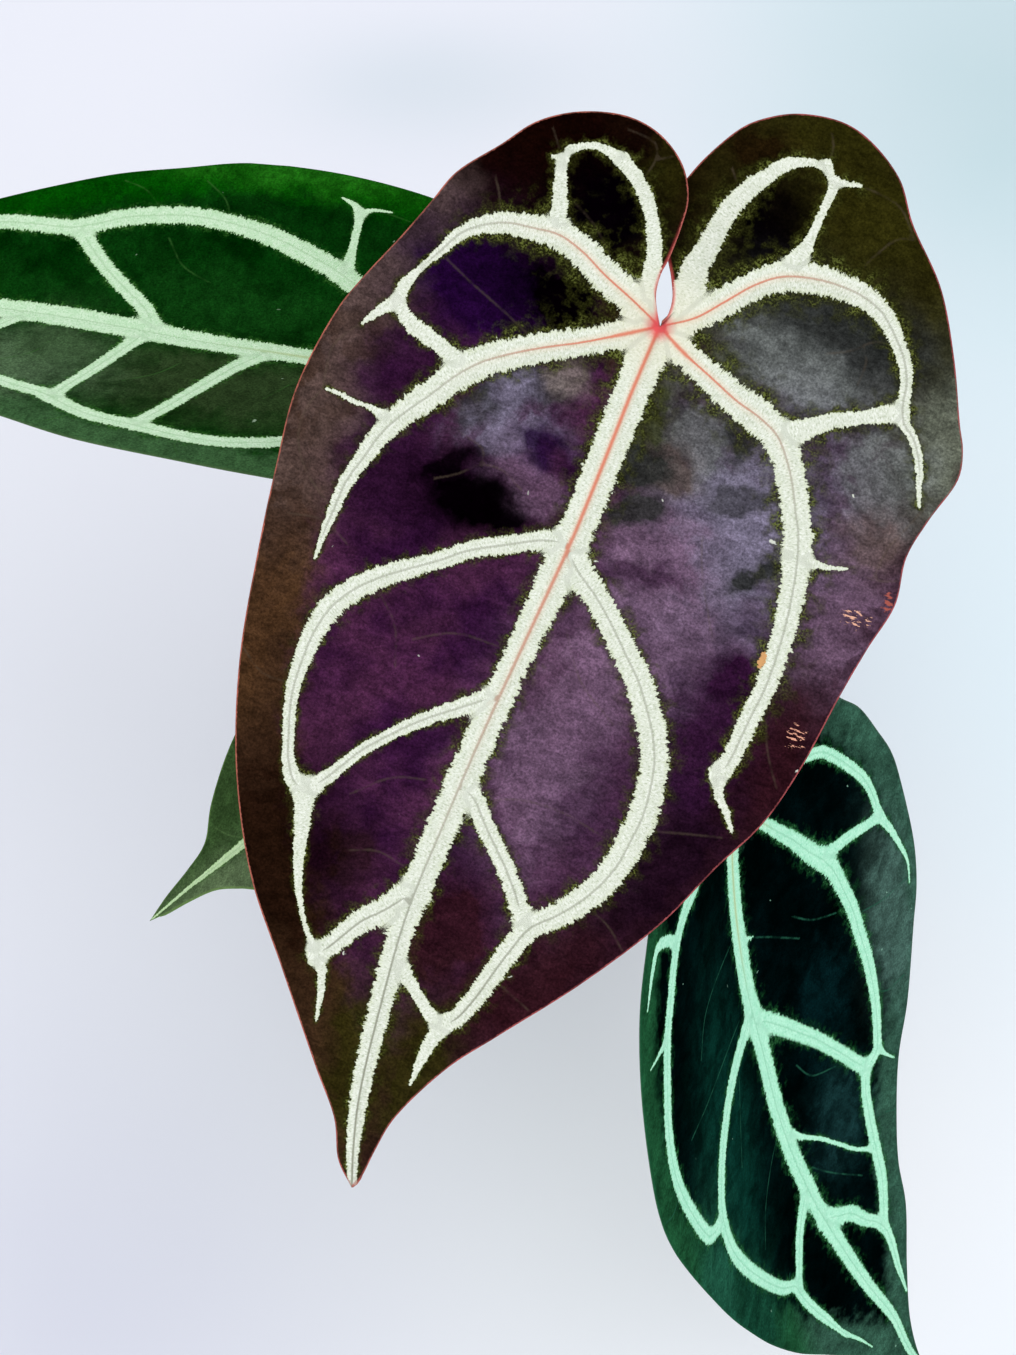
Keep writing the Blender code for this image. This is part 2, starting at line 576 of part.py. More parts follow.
def potting_mix(home):
    """A filling with an open hole for the stem and bark chips over its top."""
    inner = STEM_RADIUS + GAP
    slope = (POT_RIM_RADIUS - POT_RIM_STEP - POT_FOOT_RADIUS) / (POT_HEIGHT - POT_RIM_DEPTH)
    outer = POT_FOOT_RADIUS - POT_WALL + slope * (MIX_LEVEL - 6.0) - 0.9
    foot = POT_FOOT_RADIUS - POT_WALL - 1.6
    rings = [inner + (outer - inner) * (k / MIX_RINGS) ** 0.85 for k in range(MIX_RINGS + 1)]
    profile = [(0, STEM_FOOT - GAP), (inner, STEM_FOOT - GAP)] + [(r, MIX_LEVEL) for r in rings]
    profile += [(outer, MIX_LEVEL - 6.0), (foot, POT_BASE + GAP), (0, POT_BASE + GAP)]
    blank = turned("mix_blank", profile[::-1], MIX_SEGMENTS, home)
    item = solidified_copy(blank, "potting_mix", home, material("potting_mix", (0.075, 0.042, 0.024), 0.9))
    for point in item.data.vertices:
        x, y, z = point.co / MM
        radius = math.hypot(x, y)
        if abs(z - MIX_LEVEL) < 0.01 and inner + 0.1 < radius < outer - 0.1:
            crown = 2.5 * (1 - (radius / outer) ** 2)
            point.co.z = (z + crown + chip_rise(x, y)) * MM
    return item


def stem(home, cutters, sockets):
    """The short thick stem: leaf scars in rings, root stubs, stalk sockets."""
    profile = [(0, STEM_FOOT), (STEM_RADIUS - 1.2, STEM_FOOT), (STEM_RADIUS, STEM_FOOT + 1.5),
               (STEM_RADIUS, MIX_LEVEL + 5.0)]
    first, last = MIX_LEVEL + 5.0, STEM_TOP - 1.5
    for ring in range(NODE_RINGS):
        low = first + (last - first) * ring / NODE_RINGS
        high = first + (last - first) * (ring + 1) / NODE_RINGS
        radius = STEM_RADIUS + (STEM_TOP_RADIUS - STEM_RADIUS) * (ring + 1) / NODE_RINGS
        profile += [(radius, low + 0.3 * (high - low)), (radius, high - 0.8), (radius - 0.7, high)]
    profile += [(STEM_TOP_RADIUS - 1.4, STEM_TOP), (0, STEM_TOP + 0.8)]
    blank = turned("stem_blank", profile, 20, home)
    item = solidified_copy(blank, "stem", home, material("stem", (0.12, 0.13, 0.05), 0.7))
    stubs = collection("root_stubs")
    for number, (bearing, height, length, droop) in enumerate(ROOTS):
        aim = math.radians(bearing)
        line = []
        for k in range(5):
            reach = STEM_RADIUS - 2.5 + (length + 2.5) * k / 4
            line.append((math.cos(aim) * reach, math.sin(aim) * reach, height - droop * (k / 4) ** 2))
        radii = [ROOT_RADIUS * (1 - 0.13 * k) for k in range(4)] + [ROOT_RADIUS * 0.2]
        solidified_copy(tube(f"stub_{number}", line, radii, stubs), f"stub_{number}", stubs)
    boolean(item, "UNION", stubs)
    for socket in sockets:
        boolean(item, "DIFFERENCE", socket)
    mesh = evaluated_mesh(item, "stem")
    item.modifiers.clear()
    item.data = mesh
    for stub in list(stubs.objects):
        bpy.data.objects.remove(stub, do_unlink=True)
    return item


def sheath(name, bearing, half_span, height, home):
    """A dry papery sheath: a pointed strip curved round the stem's top."""
    rows, columns = 7, 7
    points, faces = [], []
    for row in range(rows):
        up = row / (rows - 1)
        span = half_span * (1 - up ** 2.2) + 1.5
        radius = STEM_TOP_RADIUS + GAP + 0.5 + 2.6 * up ** 2 + 1.0
        for column in range(columns):
            angle = math.radians(bearing + span * (2 * column / (columns - 1) - 1))
            z = SHEATH_FOOT + height * up
            points.append((math.cos(angle) * radius * MM, math.sin(angle) * radius * MM, z * MM))
    for row in range(rows - 1):
        for column in range(columns - 1):
            a = row * columns + column
            b, c, d = a + 1, a + columns + 1, a + columns
            faces += [(a, b, c), (a, c, d)]
    mesh = bpy.data.meshes.new(name)
    mesh.from_pydata(points, [], faces)
    mesh.shade_smooth()
    item = place(name, mesh, home, material(name, (0.30, 0.19, 0.09), 0.8))
    thick = item.modifiers.new("thickness", "SOLIDIFY")
    thick.thickness = SHEATH_WALL * MM
    thick.offset = -1.0
    return item


def build():
    clear_scene()
    home = collection(COLLECTION)
    cutters = collection("cutters")
    pot(home, cutters)
    potting_mix(home)
    sockets = []
    for name, stalk in STALKS.items():
        sockets.append(leaf_stalk(name, stalk, home, cutters)[1])
    stem(home, cutters, sockets)
    for name, (bearing, half_span, height) in SHEATHS.items():
        sheath(name, bearing, half_span, height, home)
    for name, leaf in LEAVES.items():
        leaf_blade(name, leaf, home)


build()
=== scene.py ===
"""Looks of the potted anthurium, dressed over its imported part.

Lengths are in millimetres until a mesh is made. A blade's own plane has u to
the right of its midrib and v from the stalk's point towards the tip.
"""
import math
import random

import bmesh
import bpy
import numpy as np
from mathutils import Euler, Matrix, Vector, noise
from mathutils.geometry import delaunay_2d_cdt


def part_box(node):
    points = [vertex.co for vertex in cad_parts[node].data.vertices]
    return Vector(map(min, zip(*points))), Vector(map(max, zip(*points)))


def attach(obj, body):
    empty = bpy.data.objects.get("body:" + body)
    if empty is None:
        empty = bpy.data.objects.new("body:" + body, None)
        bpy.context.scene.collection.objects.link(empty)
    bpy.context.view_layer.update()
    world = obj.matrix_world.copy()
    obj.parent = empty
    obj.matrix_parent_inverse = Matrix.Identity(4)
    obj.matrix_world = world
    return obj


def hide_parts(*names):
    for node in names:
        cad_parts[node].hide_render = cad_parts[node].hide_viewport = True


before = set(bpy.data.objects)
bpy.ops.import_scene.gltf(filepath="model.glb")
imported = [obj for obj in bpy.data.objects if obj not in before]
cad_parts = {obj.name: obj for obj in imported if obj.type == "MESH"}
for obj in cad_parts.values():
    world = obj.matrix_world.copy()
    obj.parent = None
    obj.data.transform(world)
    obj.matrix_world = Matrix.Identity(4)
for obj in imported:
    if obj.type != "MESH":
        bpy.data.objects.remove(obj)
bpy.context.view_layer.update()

MM = 0.001

# Random draws and vector noise are both seeded, so that each run gives the same chips
SEED = 41
RNG = random.Random(SEED)
noise.seed_set(SEED)

# The same sizes as the part
POT_HEIGHT, POT_RIM_RADIUS, POT_RIM_DEPTH, POT_RIM_STEP = 106.0, 58.0, 13.0, 2.2
POT_FOOT_RADIUS, POT_WALL, POT_BASE = 42.0, 1.8, 2.4
DRAIN_COUNT, DRAIN_RADIUS, DRAIN_CIRCLE, DRAIN_TURN = 6, 4.0, 27.3, 33.1
MIX_LEVEL, STEM_RADIUS, STEM_TOP_RADIUS, STEM_FOOT, STEM_TOP = 93.0, 8.6, 10.8, 60.0, 122.0
SOCKET_CIRCLE = 6.3
STALK_BASE_RADIUS, STALK_RADIUS, KNUCKLE_RADIUS, KNUCKLE_LENGTH = 2.8, 1.9, 2.5, 15.0
RIB_REACH, RIB_GROOVE = 2.6, 0.9
RIB, GAP = 2.3, 0.3
FACING = np.array([-29.3, -263.7, 637.6])

# The camera stands at FACING: its pitch in degrees, its lens and its sensor
CAMERA_PITCH, CAMERA_LENS, CAMERA_SENSOR = 25.0, 50.0, 36.0

# Points round each turned piece, and rings or rows along it
STALK_SIDES, ROOT_SIDES, STEM_SIDES, MIX_SIDES, POT_SIDES, HOLE_SIDES = 22, 14, 72, 120, 144, 40
ROOT_RINGS, MIX_RINGS, SHEATH_ROWS, SHEATH_COLUMNS = 22, 44, 64, 40
STALK_STEP, STEM_STEP, POT_STEP = 1.6, 0.45, 6.0

# Blades: the roundness where veins join, the distance beyond which a line counts as far
# away, how near the outline or midrib a vein's start is joined to it, and the shifts that
# keep the two halves' waves and noise, and the veins' streaks, apart
WEB, FAR, JOIN_REACH = 1.0, 30.0, 2.5
HALF_SHIFT, VEIN_SHIFT = 9.0, 61.7
# How soft the keel and the dish are at the midrib, and how soon the waves fade inwards
KEEL_SOFTNESS, DISH_SOFTNESS, WAVE_FADE = 8.0, 12.0, 11.0
# Shares of a grid's step: the least gaps to the outline, between a vein's points and from
# a vein to the grid, and the rise from row to row
EDGE_GAP, VEIN_GAP, GRID_GAP, ROW_RISE = 0.6, 0.5, 0.62, 0.866
# Thickness at the margin, what is added inside it, and what a rib adds
MARGIN_THICKNESS, BLADE_MORE, RIB_MORE = 0.45, 0.25, 1.45
# How far the patches of a blade stray from their places
STRAY = 11.0

# The mix: depth of its edge below the level, gaps to the pot's wall and foot, and how many
# places are tried for a loose piece
MIX_EDGE, MIX_WALL_GAP, MIX_FOOT_GAP, CHIP_TRIES = 6.0, 0.9, 1.6, 2600

# A leaf holds its pose and bend, its relief, the step of its grid, its outline left and
# right of the midrib, its midrib, its veins and its threads, the hair-thin side veins. A
# vein is its widths from start to end, 1 where it shows a centre line, and its course.
LEAVES = {
    "leaf_main": {
        "at": (1.0, -41.3, 326.6), "heading": -111.7, "decline": 24.5, "roll": -7.0,
        "length": 184.0, "arch": 0.0, "lobe": 0.0, "keel": 0.0, "twist": 0.0,
        "dish": 0.07, "droop": 0.045, "lap": 1.7, "wave": 1.1, "wavelength": 47.0,
        "grid": 1.15, "quilt": 0.5,
        "left": [
            (-2.8, -5.6), (-3.3, -10), (-2.8, -13), (-2.6, -20.6), (-3.2, -26), (-6.5, -31.8),
            (-12.8, -36.1), (-20, -37.4), (-29.4, -35.2), (-37, -30.5), (-42.2, -23.9),
            (-48.9, -15.6), (-51.7, -8.3), (-55, 0), (-59.4, 10), (-62.2, 17.8), (-64.8, 35.6),
            (-63.3, 52.2), (-61.1, 68.9), (-57.2, 91.1), (-50.6, 111.7), (-40.6, 131.1),
            (-28.3, 146.7), (-15, 163.3), (-8, 171.8), (-4.4, 179.4)],
        "right": [
            (0.8, -2.2), (0.6, -6.1), (-1.1, -10), (-3.4, -14), (-5.6, -20), (-6, -25.5),
            (-4.8, -29.7), (-2.6, -35), (2.2, -42.8), (6.1, -46.1), (11.7, -48.9), (20, -50.2),
            (26.1, -48.9), (35, -43.3), (40.6, -35.6), (50, -25.6), (57.2, -13.3), (62.8, -1.1),
            (65, 3.3), (66.1, 8.9), (63.3, 18.9), (61.7, 27), (62.8, 36.7), (60.6, 46.7),
            (58.7, 57), (56.1, 74.4), (52.8, 86.7), (47.2, 97.8), (40.6, 112.2), (29.4, 129.4),
            (17.2, 145), (10, 154.4), (3.3, 167.8), (1.9, 175), (1.1, 181)],
        "tip": (0, 183.7),
        "midrib": [
            (-0.8, 13.3), (-1.4, 30), (-2.2, 46.7), (-3.9, 65.6), (-5.8, 86.7), (-7.2, 107.8),
            (-8.1, 127.8), (-7, 145.6), (-4.8, 165.6), (-2.4, 176)],
        "midrib_width": (7.0, 6.4, 6.2, 6.0, 5.0, 5.6, 5.5, 4.7, 4.0, 3.3, 1.6),
        "veins": [
            ((4.4, 3.8, 2.8, 2.4, 2.6, 2.4), 0,
             [(0, 0), (-4.4, -7.8), (-5.9, -13.3), (-8.3, -18.9), (-11.7, -23.9), (-15.6, -27.2),
              (-18.4, -28.8)]),
            ((2.2, 1.5, 1.0, 1.3), 0, [(-18.4, -28.8), (-22.5, -29.8), (-26, -29.2), (-29, -27.2)]),
            ((5.0, 5.2, 5.6, 5.4, 5.0, 4.2, 3.2, 2.2, 1.0), 1,
             [(0, 0), (-7.2, -3.3), (-13.9, -6.1), (-19.4, -8.9), (-25, -10.6), (-30.6, -10.2),
              (-36.1, -9.4), (-40.6, -7.2), (-43.9, -4.4), (-46.4, 0), (-48.6, 3.8)]),
            ((2.6, 2.8, 2.2, 0.5), 0,
             [(-25.6, -11.7), (-27.2, -16.7), (-28.9, -22.2), (-30, -25), (-31.7, -25)]),
            ((1.8, 0.4), 0, [(-29.3, -23.4), (-28.9, -27.8)]),
            ((4.6, 4.6, 5.0, 5.5, 5.5, 5.0, 3.8, 2.9, 2.0, 0.3), 1,
             [(0, 0), (-7.2, 4.4), (-13.9, 8.3), (-20.6, 11.7), (-27.2, 15.6), (-31.7, 18.9),
              (-35.6, 23.3), (-38.9, 28.3), (-42.2, 32.8), (-45.6, 38.9), (-47.2, 44.4),
              (-48.9, 50), (-49.4, 56.7), (-49.7, 61.1), (-49.7, 66.7)]),
            ((2.8, 2.8, 3.0, 1.6), 0,
             [(-33.3, 21.1), (-38.3, 18.9), (-42.8, 17.2), (-46.7, 16.1), (-49.4, 14.4),
              (-51.7, 12.2)]),
            ((2.0, 2.2, 1.0), 0, [(-51.2, 12.6), (-51.0, 8.9), (-49.2, 5.0)]),
            ((2.2, 1.8, 0.5), 0, [(-51.2, 12.6), (-54.0, 15.4), (-56.4, 19.0)]),
            ((1.4, 0.6, 0.8, 0.3), 0,
             [(-46.1, 35), (-49.4, 34.4), (-52.8, 34.4), (-56.1, 33.9), (-58.9, 33.9)]),
            ((3.4, 3.2, 3.1, 3.2, 3.9, 4.3, 3.4, 2.3, 2.0, 3.2), 1,
             [(-2.5, 47), (-7, 47.8), (-15, 51.7), (-21.1, 55), (-26.1, 58.9), (-31.7, 62.8),
              (-36.1, 66.1), (-40.6, 70.6), (-43.3, 75), (-44.8, 80.6), (-45.2, 86.7),
              (-44.8, 94.4), (-43, 101.1), (-41.1, 106.7), (-38.3, 110.6), (-35.6, 111.1)]),
            ((3.8, 3.0, 2.3, 1.6, 1.0, 0.6, 0.8), 0,
             [(-36.2, 110.9), (-34.7, 115.6), (-33.3, 121.4), (-31.4, 128), (-28.6, 134),
              (-25.6, 138.4), (-23.2, 141)]),
            ((2.6, 1.6, 1.0, 0.3), 0, [(-23.2, 141), (-21.1, 143.4), (-19.4, 147.8), (-18.1, 154.4)]),
            ((3.4, 2.7, 2.1, 2.0, 2.7), 1,
             [(-6, 80.6), (-11.7, 85), (-16.1, 88.3), (-20.6, 92.2), (-24.4, 96.1),
              (-27.8, 100), (-30.6, 104.4), (-32.8, 107.8), (-35, 110.6)]),
            ((5.0, 4.4, 3.8, 3.2), 1,
             [(-8.3, 123.3), (-12.8, 128.9), (-16.1, 132.2), (-18.3, 135.6), (-20.6, 139.4),
              (-22.8, 142.2)]),
            ((6.0, 6.0, 5.0, 4.0, 3.6, 3.4, 2.8, 1.8, 0.6), 0,
             [(0, 0), (2.8, -6.7), (2.8, -13.3), (3.9, -18.9), (5, -25.6), (6.7, -30),
              (9.4, -34.4), (13.0, -38.6), (17.2, -40.6), (21.0, -40.2)]),
            ((1.8, 1.3, 1.6, 3.4), 0,
             [(23.3, -38.3), (23, -33.3), (22.6, -28.9), (22.2, -24.4), (21.1, -21.1)]),
            ((1.6, 1.2, 0.5), 0, [(20.4, -41.6), (22.6, -38.8), (28.2, -39.4)]),
            ((3.9, 4.4, 5.0, 5.4, 5.0, 4.0, 2.8, 2.2, 1.8, 1.4, 0.4), 1,
             [(0, 0), (6.1, -3.9), (10.6, -8.9), (15, -13.9), (19.4, -17.2), (25, -18.9),
              (30.6, -19.4), (36.1, -18.9), (40.6, -17.2), (44.4, -13.9), (47.8, -10),
              (50, -5.6), (50.8, -1.1), (52.2, 2.2), (55, 4.4), (57.8, 8.9), (59.4, 13.3),
              (60.6, 16.7)]),
            ((3.9, 4.4, 5.4, 6.2, 5.2, 5.0, 5.0, 4.6, 4.2, 3.9, 3.6, 3.4, 3.2), 1,
             [(0, 0), (6.1, 3.3), (12.8, 6.1), (19.4, 8.9), (25, 10.6), (29.4, 12.8),
              (32.8, 16.7), (35.6, 21.1), (37.8, 25.6), (40, 30), (41.7, 35.6), (42.8, 41.1),
              (43.7, 47.8), (44.1, 54.4), (44.1, 61.1), (43.3, 67.8), (42.8, 73.3),
              (42.2, 77.8), (41.1, 80.6)]),
            ((2.6, 1.6, 1.2, 0.2), 0, [(41.2, 79.4), (42.8, 84.4), (45, 86.7), (47.8, 90.6)]),
            ((4.0, 3.2, 2.4, 3.3), 0,
             [(29.4, 12.8), (33.9, 10), (38.3, 6.7), (42.8, 4.4), (47.2, 2.2), (50.6, 0.6)]),
            ((4.4, 1.4, 0.7, 0.3), 0, [(41, 34.0), (44, 34.4), (47.4, 34.2), (51.4, 33.2)]),
            ((5.5, 4.4, 4.6, 5.0, 5.0, 5.0, 5.0, 4.4, 3.9, 3.6, 3.0), 1,
             [(-2, 48), (0.6, 51.1), (6.1, 55), (11.1, 59.4), (15.6, 63.9), (20, 68.3),
              (23.3, 72.8), (26.1, 77.2), (28.3, 82.2), (29.4, 87.8), (29.8, 93.3),
              (29.2, 98.9), (28.3, 104.4), (26.1, 110), (23.3, 114.4), (20, 118.3),
              (16.1, 122.2), (13.9, 127.8), (12.2, 133.3), (10.6, 138.9), (8.3, 144.4),
              (6.1, 146.7)]),
            ((2.8, 2.0, 0.3), 0, [(6.1, 146.7), (5.2, 150), (4.4, 155.6), (4.1, 160)]),
            ((3.4, 3.2, 3.4), 1,
             [(-6.8, 100), (-3.3, 101.4), (0.6, 105.6), (3.9, 108.9), (7.2, 112.2),
              (10.6, 116.1), (13.9, 120.6)]),
            ((2.6, 2.0, 2.2), 0, [(-7.4, 137.6), (-4.8, 138.9), (-2.2, 141.1), (1.1, 143.9), (5, 146.7)]),
        ],
        "threads": [
            [(-45.5, 1), (-39, 4), (-31.5, 7), (-23.5, 10.5)], [(-25, -18), (-19.5, -15), (-14.5, -10.5)],
            [(-20, -35), (-13, -34), (-12, -31), (-13, -26.5)], [(-8.5, -33), (-12, -31)],
            [(-41.5, -18), (-39, -14), (-37.5, -10)], [(-34, -31), (-31, -27)],
            [(-55.5, 17.5), (-60.5, 25), (-60.3, 30), (-59.6, 34)],
            [(-59.6, 34), (-61.5, 39), (-61, 45), (-57, 51), (-50, 56)],
            [(-26.5, 76), (-18, 71.5), (-9, 71)], [(-36, 68), (-30, 74), (-27, 82)],
            [(-44, 62), (-51, 59), (-58, 60)],
            [(-45, 92), (-52, 92), (-58, 88)], [(-13, 101), (-20, 103), (-27, 109)],
            [(32.5, -5.5), (37.5, -8), (41, -11), (45, -12)], [(40.5, -8.5), (41.2, -6), (41, -2)],
            [(2.5, -35), (4.5, -32.5), (6.5, -30)], [(19, -48), (20.5, -45), (20.8, -42)],
            [(29, -39.4), (33, -39), (37, -38), (41, -34)], [(34, -24), (36, -28), (39, -32), (43, -33)],
            [(51, 33.2), (58, 33.3), (62, 32)], [(57, 33), (57.5, 27), (60, 21), (62, 16)],
            [(22, 36), (23, 39.5), (25, 44.5), (28, 50), (31, 55.5)], [(46, 66), (49, 73), (53, 79)],
            [(-33, 44), (-28, 41), (-24.5, 38), (-20, 37.5), (-15, 40)],
            [(-24.5, 38), (-25, 35), (-31, 33)],
            [(-5, 104), (4, 99), (14, 98), (24, 100)], [(2, 62), (9, 72), (18, 78)],
            [(31, 96), (38, 94), (46, 92)],
            [(24, 114), (30, 116), (35, 120)], [(12, 134), (17, 136), (22, 138)],
            [(-24, 120), (-18, 118), (-12, 119)]],
    },
    "leaf_left": {
        "at": (-47.5, -13.9, 267.2), "heading": 168.6, "decline": -3.3, "roll": 21.0,
        "length": 173.5, "arch": 0.078, "lobe": 0.08, "keel": 0.24, "twist": -0.081,
        "dish": 0.0, "droop": 0.0, "lap": 0.0, "wave": 0.9, "wavelength": 52.0,
        "grid": 1.35, "quilt": 0.5,
        "left": [
            (-2, -9), (-4, -20), (-7, -30), (-12, -37), (-20, -40), (-29, -38), (-38, -31),
            (-46, -21), (-52, -10), (-56, 2), (-58.5, 13), (-60, 28), (-60, 42), (-58, 60),
            (-53, 75), (-48, 90), (-41, 105), (-31, 124), (-20, 142), (-10, 157), (-3.5, 167)],
        "right": [
            (2, -9), (3, -20), (6, -30), (11, -37), (18, -41), (27, -40), (36, -35), (45, -26),
            (52, -15), (57, -3), (60, 10), (60.3, 28), (59, 45), (56, 67), (50, 85), (41, 108),
            (28, 132), (14, 153), (5, 166)],
        "tip": (0, 174),
        "midrib": [(0, 15), (0.8, 35), (1.4, 55), (0.3, 75), (-0.5, 95), (-0.3, 125), (0, 155)],
        "midrib_width": (5.0, 5.2, 5.5, 6.0, 6.6, 7.0, 6.0, 5.4, 4.4, 3.0, 0.8),
        "veins": [
            ((5.4, 5.6, 5.4, 5.4, 5.0, 5.0, 4.4, 4.0, 3.0, 1.0), 1,
             [(0, 0), (-8, 4), (-15, 10), (-22, 18), (-26, 25), (-29, 30), (-32, 37), (-35, 45),
              (-37, 53), (-38, 61), (-38, 69), (-36.5, 77), (-34.5, 84), (-31, 91), (-29, 96),
              (-28.5, 105), (-28, 113), (-25, 123), (-20, 133), (-14, 143), (-8, 152)]),
            ((3.6, 3.5, 3.5), 1,
             [(-1.4, 67), (-7, 71), (-12, 77), (-17, 83), (-22, 88), (-28, 93.5)]),
            ((2.6, 1.7, 1.8), 0, [(-28, 27.2), (-36, 27.5), (-43, 28), (-49, 28.5)]),
            ((2.2, 1.6, 0.4), 0, [(-47.6, 28.4), (-50.5, 30), (-52.4, 34)]),
            ((1.6, 0.9, 0.3), 0, [(-48, 28.4), (-50.2, 26), (-50.8, 21)]),
            ((3.2, 3.0, 2.6), 1, [(-0.5, 107), (-6, 115), (-12, 122), (-20, 133)]),
            ((3.6, 3.8, 4.2, 4.5, 4.3, 4.0, 4.0, 3.6, 3.0, 1.0), 1,
             [(0, 0), (15, 4), (28, 10), (38, 18), (44, 26), (46, 30), (48, 36), (48.5, 42),
              (48, 48), (47, 54), (46, 60), (45, 66), (43, 71), (40, 76), (37, 81), (35, 88),
              (33.5, 92), (31, 100), (26, 112), (20, 124), (14, 135)]),
            ((4.2, 3.6, 3.2, 3.0), 1,
             [(1.2, 39), (3, 40), (10, 44), (18, 47), (27, 50), (36, 53), (45, 56.6)]),
            ((3.8, 3.4, 3.1, 3.0), 1,
             [(0.6, 68.5), (3, 69), (10, 71), (18, 73), (26, 75), (33, 77), (39, 77.8)]),
            ((3.2, 3.0, 2.6), 1, [(-0.4, 98), (12, 105), (27, 110)]),
            ((4.2, 3.6, 2.4, 0.4), 1, [(0, 0), (-12, -6), (-23, -9), (-32, -7), (-37, -1)]),
            ((4.0, 3.4, 2.4, 0.6), 1, [(0, 0), (-6, -14), (-12, -24), (-20, -30)]),
            ((4.2, 4.0, 3.4, 2.0), 1, [(0, 0), (14, -7), (27, -12), (39, -9), (47, 2), (50, 14)]),
            ((4.0, 3.4, 2.4, 0.6), 1, [(0, 0), (5, -14), (10, -25), (18, -31)]),
        ],
        "threads": [
            [(-49, 28), (-50, 22), (-49, 16)], [(-37, 58), (-45, 62), (-50, 68)],
            [(-18, 58), (-22, 66), (-30, 72)],
            [(-38, 76), (-44, 82), (-46, 88)], [(12, 56), (20, 60), (26, 66)],
            [(46, 44), (52, 46), (57, 44)],
            [(44, 70), (49, 74), (52, 78)], [(10, 88), (18, 90), (24, 96)], [(2, 26), (14, 30), (24, 34)]],
    },
    "leaf_right": {
        "at": (22.9, -107.3, 228.3), "heading": -78.0, "decline": 52.0, "roll": -49.0,
        "length": 182.0, "arch": -0.06, "lobe": 0.08, "keel": 0.186, "twist": 0.04,
        "dish": 0.0, "droop": 0.0, "lap": 0.0, "wave": 1.0, "wavelength": 58.0,
        "grid": 1.45, "quilt": 0.5,
        "left": [
            (-2, -8), (-5, -20), (-10, -30), (-18, -36), (-28, -35), (-40, -27), (-50, -17),
            (-59, -6), (-67, 5), (-71.5, 22), (-72, 50), (-70, 62), (-66, 73), (-60, 85),
            (-50, 103), (-40, 120), (-30, 135), (-20, 149), (-5, 167), (8, 179.5), (20, 190.5),
            (32, 202), (40, 211)],
        "right": [
            (1, -6), (3, -16), (6, -26), (12, -33), (20, -36), (30, -32), (38, -22), (45, -9),
            (55, 0), (62, 10), (68, 20), (71, 30), (74.8, 52), (74, 65), (71, 75), (64, 97),
            (57, 111), (52, 130), (50, 143), (50, 158), (45.5, 178), (42.5, 195), (43, 209)],
        "tip": (46, 220),
        "midrib": [
            (-2.5, 12), (-3.5, 28), (-2, 50), (1.5, 70), (4, 90), (7.5, 108), (13.5, 130),
            (20.5, 150), (28, 170), (36, 189), (39.5, 204)],
        "midrib_width": (6.0, 6.4, 7.0, 6.4, 5.8, 5.5, 5.2, 5.0, 4.5, 4.0, 3.2, 2.4, 1.0),
        "veins": [
            ((4.6, 4.4, 4.2, 4.4, 4.5, 4.2, 4.0, 4.0, 3.8), 1,
             [(0, 0), (-12, -2), (-28, 2), (-36, 3), (-42, 6), (-46, 10), (-50, 16), (-54, 22),
              (-56, 27), (-58, 34), (-60, 42), (-60.5, 50), (-59.5, 58), (-57, 66), (-53, 75),
              (-49, 83), (-45, 88.5), (-38, 91)]),
            ((2.6, 2.4, 2.2, 0.6), 0, [(-43, 6.6), (-48, 2), (-55, -1), (-59, 2), (-64, 8)]),
            ((1.6, 0.9, 0.3), 0, [(-55, 22.5), (-60, 22.6), (-66, 22)]),
            ((5.4, 5.0, 5.0, 4.6, 4.2, 4.0, 3.8, 3.6, 3.2, 3.0, 2.6, 1.0), 1,
             [(-1.5, 57.6), (-10, 61), (-17, 64), (-23, 68), (-29, 74), (-33, 80), (-36, 88),
              (-36, 95), (-34, 103), (-30, 111), (-25, 119), (-20, 126), (-14, 134), (-7, 142),
              (-1, 147), (1, 152), (5, 160), (9, 167), (13, 174), (16, 179)]),
            ((1.2, 0.8, 0.2), 0, [(15.5, 178), (21, 185), (25, 191)]),
            ((3.8, 3.4, 3.0), 1, [(11.6, 123.4), (10, 125), (7, 130), (4, 137), (2, 144), (0.6, 149)]),
            ((2.6, 3.0, 4.0, 5.5, 4.6, 4.5, 4.0, 3.6, 3.5), 1,
             [(0, 0), (12, 10), (18, 16), (24, 22), (30, 29), (35, 34), (39, 40), (42, 47),
              (45, 55), (47, 64), (49, 73), (50, 82), (50, 92), (49, 99), (48, 103), (43, 105)]),
            ((1.8, 0.9, 0.3), 0, [(48.6, 102), (52, 107), (55, 110)]),
            ((5.0, 4.4, 3.8, 4.0), 1,
             [(1, 62.4), (3, 63), (10, 69), (17, 76), (24, 83), (30, 90), (35, 96), (39, 101),
              (42.6, 105)]),
            ((3.6, 3.8, 4.0, 3.6), 1,
             [(42.4, 105), (41, 112), (41, 122), (41.5, 132), (42, 142), (41, 150), (39.4, 157)]),
            ((5.0, 4.4, 3.6, 3.0, 2.8, 2.0, 0.5), 1,
             [(16.6, 137.8), (22, 141), (27, 144), (32, 150), (37, 155), (40, 160), (41.5, 168),
              (42, 175), (43, 182), (43.5, 186)]),
            ((3.2, 3.0, 3.0, 3.0, 2.6), 1,
             [(0, 0), (12, -4), (32, 2), (38, 4), (44, 9), (50, 15), (55, 21), (58, 27), (60, 34)]),
            ((3.5, 3.2, 2.8), 0, [(34.4, 33.4), (46, 33.5), (54, 34.5), (60, 35)]),
            ((2.8, 2.0, 1.2, 0.4), 0, [(60, 34.6), (65, 42), (68, 48), (71, 55), (71, 62)]),
            ((1.2, 1.0, 1.0), 0, [(8.4, 102.4), (14, 108), (20, 113), (27, 120), (33, 126), (39, 130.5)]),
            ((1.0, 0.4, 0.1), 0, [(-2.6, 36), (0, 36.4), (4, 38)]),
